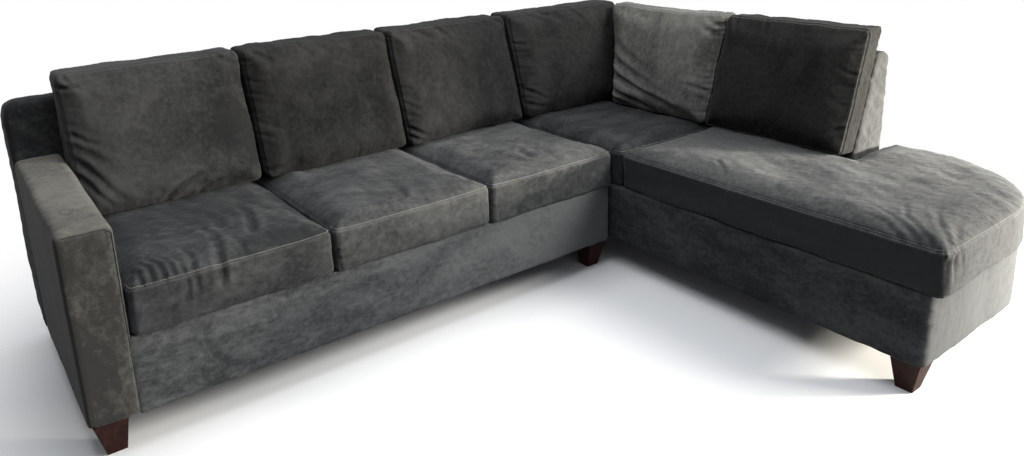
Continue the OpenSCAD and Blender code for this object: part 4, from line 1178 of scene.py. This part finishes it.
def back_cushion(
    name, width, gusset, rear_crown, lay, seed, tone, gathers, folds,
    pucker=0.0006, warm=0.0, droop=(0.0, 0.0), dip=0.0, twin=None, patches=(), marks=0.8, **tones,
):
    low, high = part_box(name + "_cover")
    tall = high.z - low.z

    def outline(i):
        return rounded(width, tall, 0.022, i)

    def sag(shaped, cut):
        up = np.clip(cut[:, 1] / tall, 0, 1)
        across = np.clip(cut[:, 0] / width, 0, 1)
        middle = np.sin(math.pi * across)
        left = np.exp(-((across / 0.2) ** 2))
        right = np.exp(-(((1 - across) / 0.2) ** 2))
        shaped[:, 1] -= up**3 * (droop[0] * left + droop[1] * right + dip * middle)
        belly = middle * np.sin(math.pi * np.clip(up * 1.3, 0, 1))
        shaped[:, 2] += 0.010 * belly * (cut[:, 2] > gusset / 2)
        return shaped

    crowns = (front_crown, rear_crown)
    piece, cut, nap = cushion(
        name, outline, gusset, crowns, back_reach, seed, pucker=pucker, gathers=gathers,
        folds=folds, sag=sag, blow=(2.2, 0.02, 0.014),
        press=(0.0, width, 0.0, tall, -rear_crown, gusset + front_crown + 0.02),
    )
    rows = []
    if twin:
        for k, (i, depth) in enumerate(((0.006, gusset), (0.0, gusset - 0.007))):
            line = outline(i)
            side = [(a, b, depth) for a, b in line + line[:1]]
            rows.append(stitches(f"{name}_twin_stitch_{k + 1}", piece, cut, side, 0.0014, twin))
    material = velvet(name + "_velvet", tone, warm, seed, marks, True, (1, 1, 0.7), patches)
    finish_cushion(piece, rows, lay, name + "_cover", material, 0.55, more=nap, **tones)
    rise = (front_crown - 0.008, max(rear_crown - 0.008, 0.0))
    inside(
        name + "_batting", name + "_fill", outline, gusset, rise,
        lay, fibre, "fibre_fill", 0.4, 0.004, seed + 50, sag,
    )


fibre = filling("fibre_batting", (0.7, 0.7, 0.68), (0.9, 0.9, 0.88), 150, 0.003)
twin_thread = thread("twin_needle_thread", (0.11, 0.11, 0.105), (0.22, 0.215, 0.2))
face_gap = 0.0003 / math.cos(math.radians(back_angle))
row_gusset = 0.14


def row_cushion(n, seed, tone, gathers, folds, lean=0.0, **more):
    name = f"back_cushion_{n}"
    low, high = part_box(name + "_cover")
    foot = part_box("sofa_back_cover")[0].y + (low.z - knee) * rake - face_gap
    rear_crown = 0.028
    width = high.x - low.x - lean * (high.z - low.z - 0.02)
    lay = lay_on_row(low.x, foot, low.z, rear_crown, lean / width)
    back_cushion(name, width, row_gusset, rear_crown, lay, seed, tone, gathers, folds, **more)


row_cushion(
    1, 601, 0.62,
    [((0.0, 0.47), 0.05, 2.0), ((0.62, 0.46), 0.05, 1.5), ((0.05, 0.0), 0.08, 1.0)],
    [
        ([(0.0, 0.29, row_gusset - 0.02), (0.02, 0.285), (0.05, 0.262), (0.10, 0.243)], 0.010, 0.006),
        ([(0.0, 0.21), (0.03, 0.18), (0.07, 0.13), (0.12, 0.07), (0.17, 0.03)], 0.014, 0.007),
        ([(0.0, 0.16), (0.03, 0.125), (0.06, 0.08), (0.10, 0.035)], 0.010, 0.005),
        ([(0.0, 0.25), (0.05, 0.225), (0.13, 0.16), (0.19, 0.10)], 0.016, 0.0035),
        ([(0.25, 0.0), (0.30, 0.045), (0.36, 0.075), (0.44, 0.09)], 0.013, 0.009),
        ([(0.37, 0.0), (0.42, 0.035), (0.50, 0.055)], 0.010, 0.006),
        ([(0.0, 0.445), (0.04, 0.44), (0.09, 0.455)], 0.009, 0.006),
        ([(0.02, 0.488), (0.045, 0.45), (0.09, 0.425)], 0.009, 0.005),
        ([(0.54, 0.488), (0.575, 0.46), (0.61, 0.44)], 0.009, 0.005),
    ],
    patches=[((-0.74, 0.80, 0.74), (0.40, 0.7, 0.5), -0.35), ((-1.25, 0.8, 0.78), (0.5, 0.7, 0.5), 0.42)],
    top=0.25,
)
row_cushion(
    2, 701, 0.35,
    [((0.0, 0.3), 0.14, 1.0), ((0.2, 0.48), 0.1, 1.0), ((0.61, 0.47), 0.04, 1.5), ((0.0, 0.47), 0.04, 2.0)],
    [
        ([(0.03, 0.488), (0.065, 0.467), (0.12, 0.43)], 0.010, 0.007),
        ([(0.0, 0.33), (0.03, 0.321), (0.11, 0.30)], 0.009, 0.0025),
        ([(0.0, 0.375), (0.04, 0.365), (0.10, 0.36)], 0.008, 0.002),
        ([(0.0, 0.22), (0.03, 0.207), (0.11, 0.178)], 0.009, 0.0025),
        ([(0.0, 0.17), (0.03, 0.165), (0.08, 0.14)], 0.008, 0.002),
        ([(0.0, 0.03), (0.05, 0.045), (0.10, 0.07)], 0.011, 0.006),
        ([(0.22, 0.488), (0.26, 0.455), (0.28, 0.43)], 0.010, 0.004),
        ([(0.30, 0.488), (0.33, 0.46), (0.36, 0.43)], 0.010, 0.004),
        ([(0.62, 0.44), (0.57, 0.465), (0.50, 0.47)], 0.010, 0.0045),
    ],
    patches=[
        ((-0.40, 0.9, 0.99), (0.3, 0.4, 0.14), 0.25), ((-0.25, 0.8, 0.75), (0.4, 0.6, 0.25), -0.2),
        ((-0.66, 0.8, 0.7), (0.1, 0.6, 0.4), 0.3),
    ],
    top=0.3,
)
row_cushion(
    3, 801, 0.42,
    [((0.0, 0.15), 0.12, 1.4), ((0.3, 0.48), 0.12, 0.8), ((0.0, 0.47), 0.04, 2.0)],
    [
        ([(0.10, 0.488), (0.144, 0.475), (0.18, 0.455), (0.235, 0.42)], 0.011, 0.007),
        ([(0.22, 0.488), (0.255, 0.468), (0.315, 0.405)], 0.011, 0.006),
        ([(0.0, 0.19), (0.02, 0.175), (0.07, 0.15)], 0.009, 0.0025),
        ([(0.0, 0.135), (0.03, 0.13), (0.07, 0.11)], 0.008, 0.0025),
        ([(0.0, 0.08), (0.03, 0.065), (0.10, 0.02)], 0.010, 0.007),
        ([(0.0, 0.045), (0.03, 0.03), (0.09, 0.0)], 0.009, 0.005),
        ([(0.0, 0.25), (0.03, 0.245), (0.06, 0.23)], 0.008, 0.002),
        ([(0.54, 0.488), (0.575, 0.475), (0.61, 0.45)], 0.009, 0.005),
    ],
    patches=[((0.25, 0.8, 0.75), (0.35, 0.6, 0.3), -0.15), ((-0.04, 0.8, 0.75), (0.1, 0.6, 0.4), 0.35)],
    top=0.35,
)
row_cushion(
    4, 901, 0.42,
    [((0.0, 0.12), 0.1, 1.4), ((0.2, 0.48), 0.15, 1.0)],
    [
        ([(0.14, 0.488), (0.186, 0.475), (0.29, 0.418)], 0.011, 0.007),
        ([(0.20, 0.488), (0.23, 0.469), (0.32, 0.41)], 0.010, 0.005),
        ([(0.30, 0.488), (0.33, 0.475), (0.385, 0.405)], 0.010, 0.006),
        ([(0.08, 0.488), (0.12, 0.465), (0.17, 0.44)], 0.009, 0.005),
        ([(0.0, 0.352), (0.04, 0.35), (0.09, 0.357)], 0.009, 0.004),
        ([(0.0, 0.31), (0.03, 0.315), (0.06, 0.32)], 0.008, 0.002),
        ([(0.0, 0.145), (0.04, 0.125), (0.125, 0.078)], 0.010, 0.006),
        ([(0.0, 0.075), (0.05, 0.06), (0.135, 0.04)], 0.010, 0.006),
        ([(0.0, 0.24), (0.03, 0.235), (0.07, 0.225)], 0.008, 0.002),
    ],
    lean=rake, top=0.35, patches=[((0.60, 0.8, 0.9), (0.2, 0.6, 0.3), 0.3)],
)


def side_cushion(n, lean, seed, tone, gathers, folds, **more):
    name = f"back_cushion_{n}"
    low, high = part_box(name + "_cover")
    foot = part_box("side_back_cover")[0].x + (low.z - knee) * rake - face_gap
    rear_edge = high.y - lean * (high.z - low.z)
    width = rear_edge - low.y
    lay = lay_on_side(foot, rear_edge, low.z, lean, width)
    back_cushion(name, width, side_gusset, 0.0, lay, seed, tone, gathers, folds, twin=twin_thread, **more)


side_gusset = 0.084
side_cushion(
    5, rake, 1001, 2.9,
    [((0.56, 0.45), 0.07, 2.0), ((0.56, 0.2), 0.1, 1.2), ((0.0, 0.1), 0.15, 1.0)],
    [
        ([(0.0, 0.155), (0.10, 0.14), (0.19, 0.112), (0.33, 0.075), (0.46, 0.035)], 0.018, 0.012),
        ([(0.0, 0.085), (0.10, 0.06), (0.21, 0.035), (0.33, 0.0)], 0.014, 0.009),
        ([(0.0, 0.04), (0.08, 0.018), (0.15, 0.0)], 0.011, 0.006),
        ([(0.0, 0.23), (0.14, 0.19), (0.30, 0.13), (0.44, 0.09)], 0.020, 0.007),
        ([(0.03, 0.31), (0.18, 0.24), (0.34, 0.19)], 0.020, 0.004),
        ([(0.568, 0.145), (0.54, 0.158), (0.49, 0.172), (0.45, 0.17)], 0.009, 0.006),
        ([(0.568, 0.205), (0.54, 0.20), (0.50, 0.215)], 0.008, 0.003),
        ([(0.568, 0.10), (0.545, 0.118), (0.51, 0.125)], 0.008, 0.003),
        ([(0.568, 0.39), (0.53, 0.415), (0.46, 0.455)], 0.012, 0.006),
        ([(0.568, 0.44), (0.54, 0.45), (0.50, 0.48)], 0.009, 0.004),
        ([(0.568, 0.30), (0.55, 0.318), (0.53, 0.345)], 0.008, 0.002),
    ],
    pucker=0.0009, warm=0.5, dip=0.010, patches=[((1.1, 0.42, 0.98), (0.6, 0.35, 0.3), 0.25)],
)
side_cushion(
    6, 0.0, 1101, 0.48,
    [((0.66, 0.42), 0.08, 1.6), ((0.66, 0.15), 0.1, 1.0)],
    [
        ([(0.05, 0.488), (0.07, 0.45), (0.1, 0.41)], 0.011, 0.005),
        ([(0.2, 0.488), (0.22, 0.45), (0.23, 0.42)], 0.011, 0.005),
        ([(0.665, 0.31), (0.63, 0.32), (0.57, 0.35)], 0.009, 0.003),
        ([(0.665, 0.21), (0.63, 0.20), (0.58, 0.215)], 0.009, 0.002),
        ([(0.665, 0.12), (0.60, 0.09), (0.54, 0.08)], 0.010, 0.003),
        ([(0.3, 0.0), (0.32, 0.04), (0.35, 0.07)], 0.011, 0.004),
    ],
    pucker=0.0009, warm=0.3, patches=[((1.1, -0.47, 0.8), (0.6, 0.16, 0.6), 0.35)], front=-0.1, top=0.3,
)


# The room: a pale floor, a pale light that is stronger from the right and from above, two soft lamps, the
# stronger one high in front on the right, a narrow low beam on the end of the chaise, as from a window,
# and a camera where the photographer stood.
def studio():
    bpy.ops.object.select_all(action="DESELECT")
    bpy.ops.mesh.primitive_plane_add(size=16, location=(0, 0, -0.0005))
    floor = bpy.context.object
    floor.name = "floor"
    finish = Finish("pale_floor")
    tone = finish.noise(finish.where(), 0.8, 2.0)
    pale = finish.between(tone, (0.9, 0.9, 0.9), (0.94, 0.94, 0.93))
    # To the sofa it is a darker floor, which throws little light up at the covers
    seen = finish.node("LightPath", {}, out="Is Camera Ray")
    rough = finish.node("BsdfDiffuse", {}, Color=finish.between(seen, (0.35, 0.35, 0.35), pale))
    clear = finish.node("BsdfTransparent", {})
    # The floor fades out round the sofa, so that only its shadow is seen on white
    away = finish.node("VectorMath", {"operation": "LENGTH"}, finish.where(), out="Value")
    finish.node("OutputMaterial", {}, finish.node("MixShader", {}, away.over(1.5, 2.7), rough, clear))
    floor.data.materials.append(finish.material)
    room = Finish("room", "worlds")
    bpy.context.scene.world = room.material
    way = room.node("TexCoord", {}, out="Generated")
    side = room.node("SeparateXYZ", {}, way, out="X")
    up = room.node("SeparateXYZ", {}, way, out="Z")
    # Most of the even light comes from the right and from above
    share = (side * 0.55 + up * 0.45).over(-0.5, 0.8)
    fill = room.node("Background", {}, room.between(share, (0.05, 0.05, 0.052), (0.62, 0.65, 0.7)), 1.0)
    white = room.node("Background", {}, (1, 1, 1), 1.0)
    rays = [room.node("LightPath", {}, out=f"Is {kind} Ray") for kind in ("Camera", "Glossy", "Transmission")]
    seen = rays[0].maths("MAXIMUM", rays[0], rays[1].maths("MAXIMUM", rays[1], rays[2]))
    room.node("OutputWorld", {}, room.node("MixShader", {}, seen, fill, white))


def lamp(name, place, aim, size, power, colour, spread=180):
    data = bpy.data.lights.new(name, "AREA")
    data.size = size
    data.spread = math.radians(spread)
    data.energy = power
    data.color = colour
    light = add(name, data)
    light.location = place
    light.rotation_euler = (Vector(aim) - Vector(place)).to_track_quat("-Z", "Y").to_euler()


def photographer():
    """A camera at the photographer's place. The picture is 1024 pixels wide and 456 high."""
    width, height = 1024, 456
    focal_px = 790.57
    centre_px = (502.0, 116.8)
    yaw, pitch, roll = (math.radians(a) for a in (36.672, -14.814, -1.869))
    ahead = Vector((math.sin(yaw) * math.cos(pitch), math.cos(yaw) * math.cos(pitch), math.sin(pitch)))
    right = Vector((math.cos(yaw), -math.sin(yaw), 0))
    up = right.cross(ahead)
    right, up = right * math.cos(roll) + up * math.sin(roll), up * math.cos(roll) - right * math.sin(roll)
    data = bpy.data.cameras.new("camera")
    camera = add("camera", data)
    turned = Matrix((right, up, -ahead)).transposed().to_4x4()
    camera.matrix_world = Matrix.Translation((-1.6740, -2.0578, 1.5026)) @ turned
    data.sensor_width = 36
    data.lens = 36 * focal_px / width
    data.shift_x = (width / 2 - centre_px[0]) / width
    data.shift_y = (centre_px[1] - height / 2) / width
    bpy.context.scene.camera = camera


studio()
lamp("key", (3.2, -3.4, 3.2), (0.2, 0.0, 0.4), 2.4, 370, (1.0, 0.985, 0.945))
lamp("window", (2.9, -2.9, 0.8), (1.72, -0.85, 0.3), 0.4, 78, (1.0, 0.94, 0.83), spread=60)
lamp("overhead", (-0.6, 0.2, 4.2), (-0.2, 0.2, 0.4), 3.0, 90, (0.95, 0.97, 1.0))
photographer()
bpy.context.scene.view_settings.view_transform = "Standard"
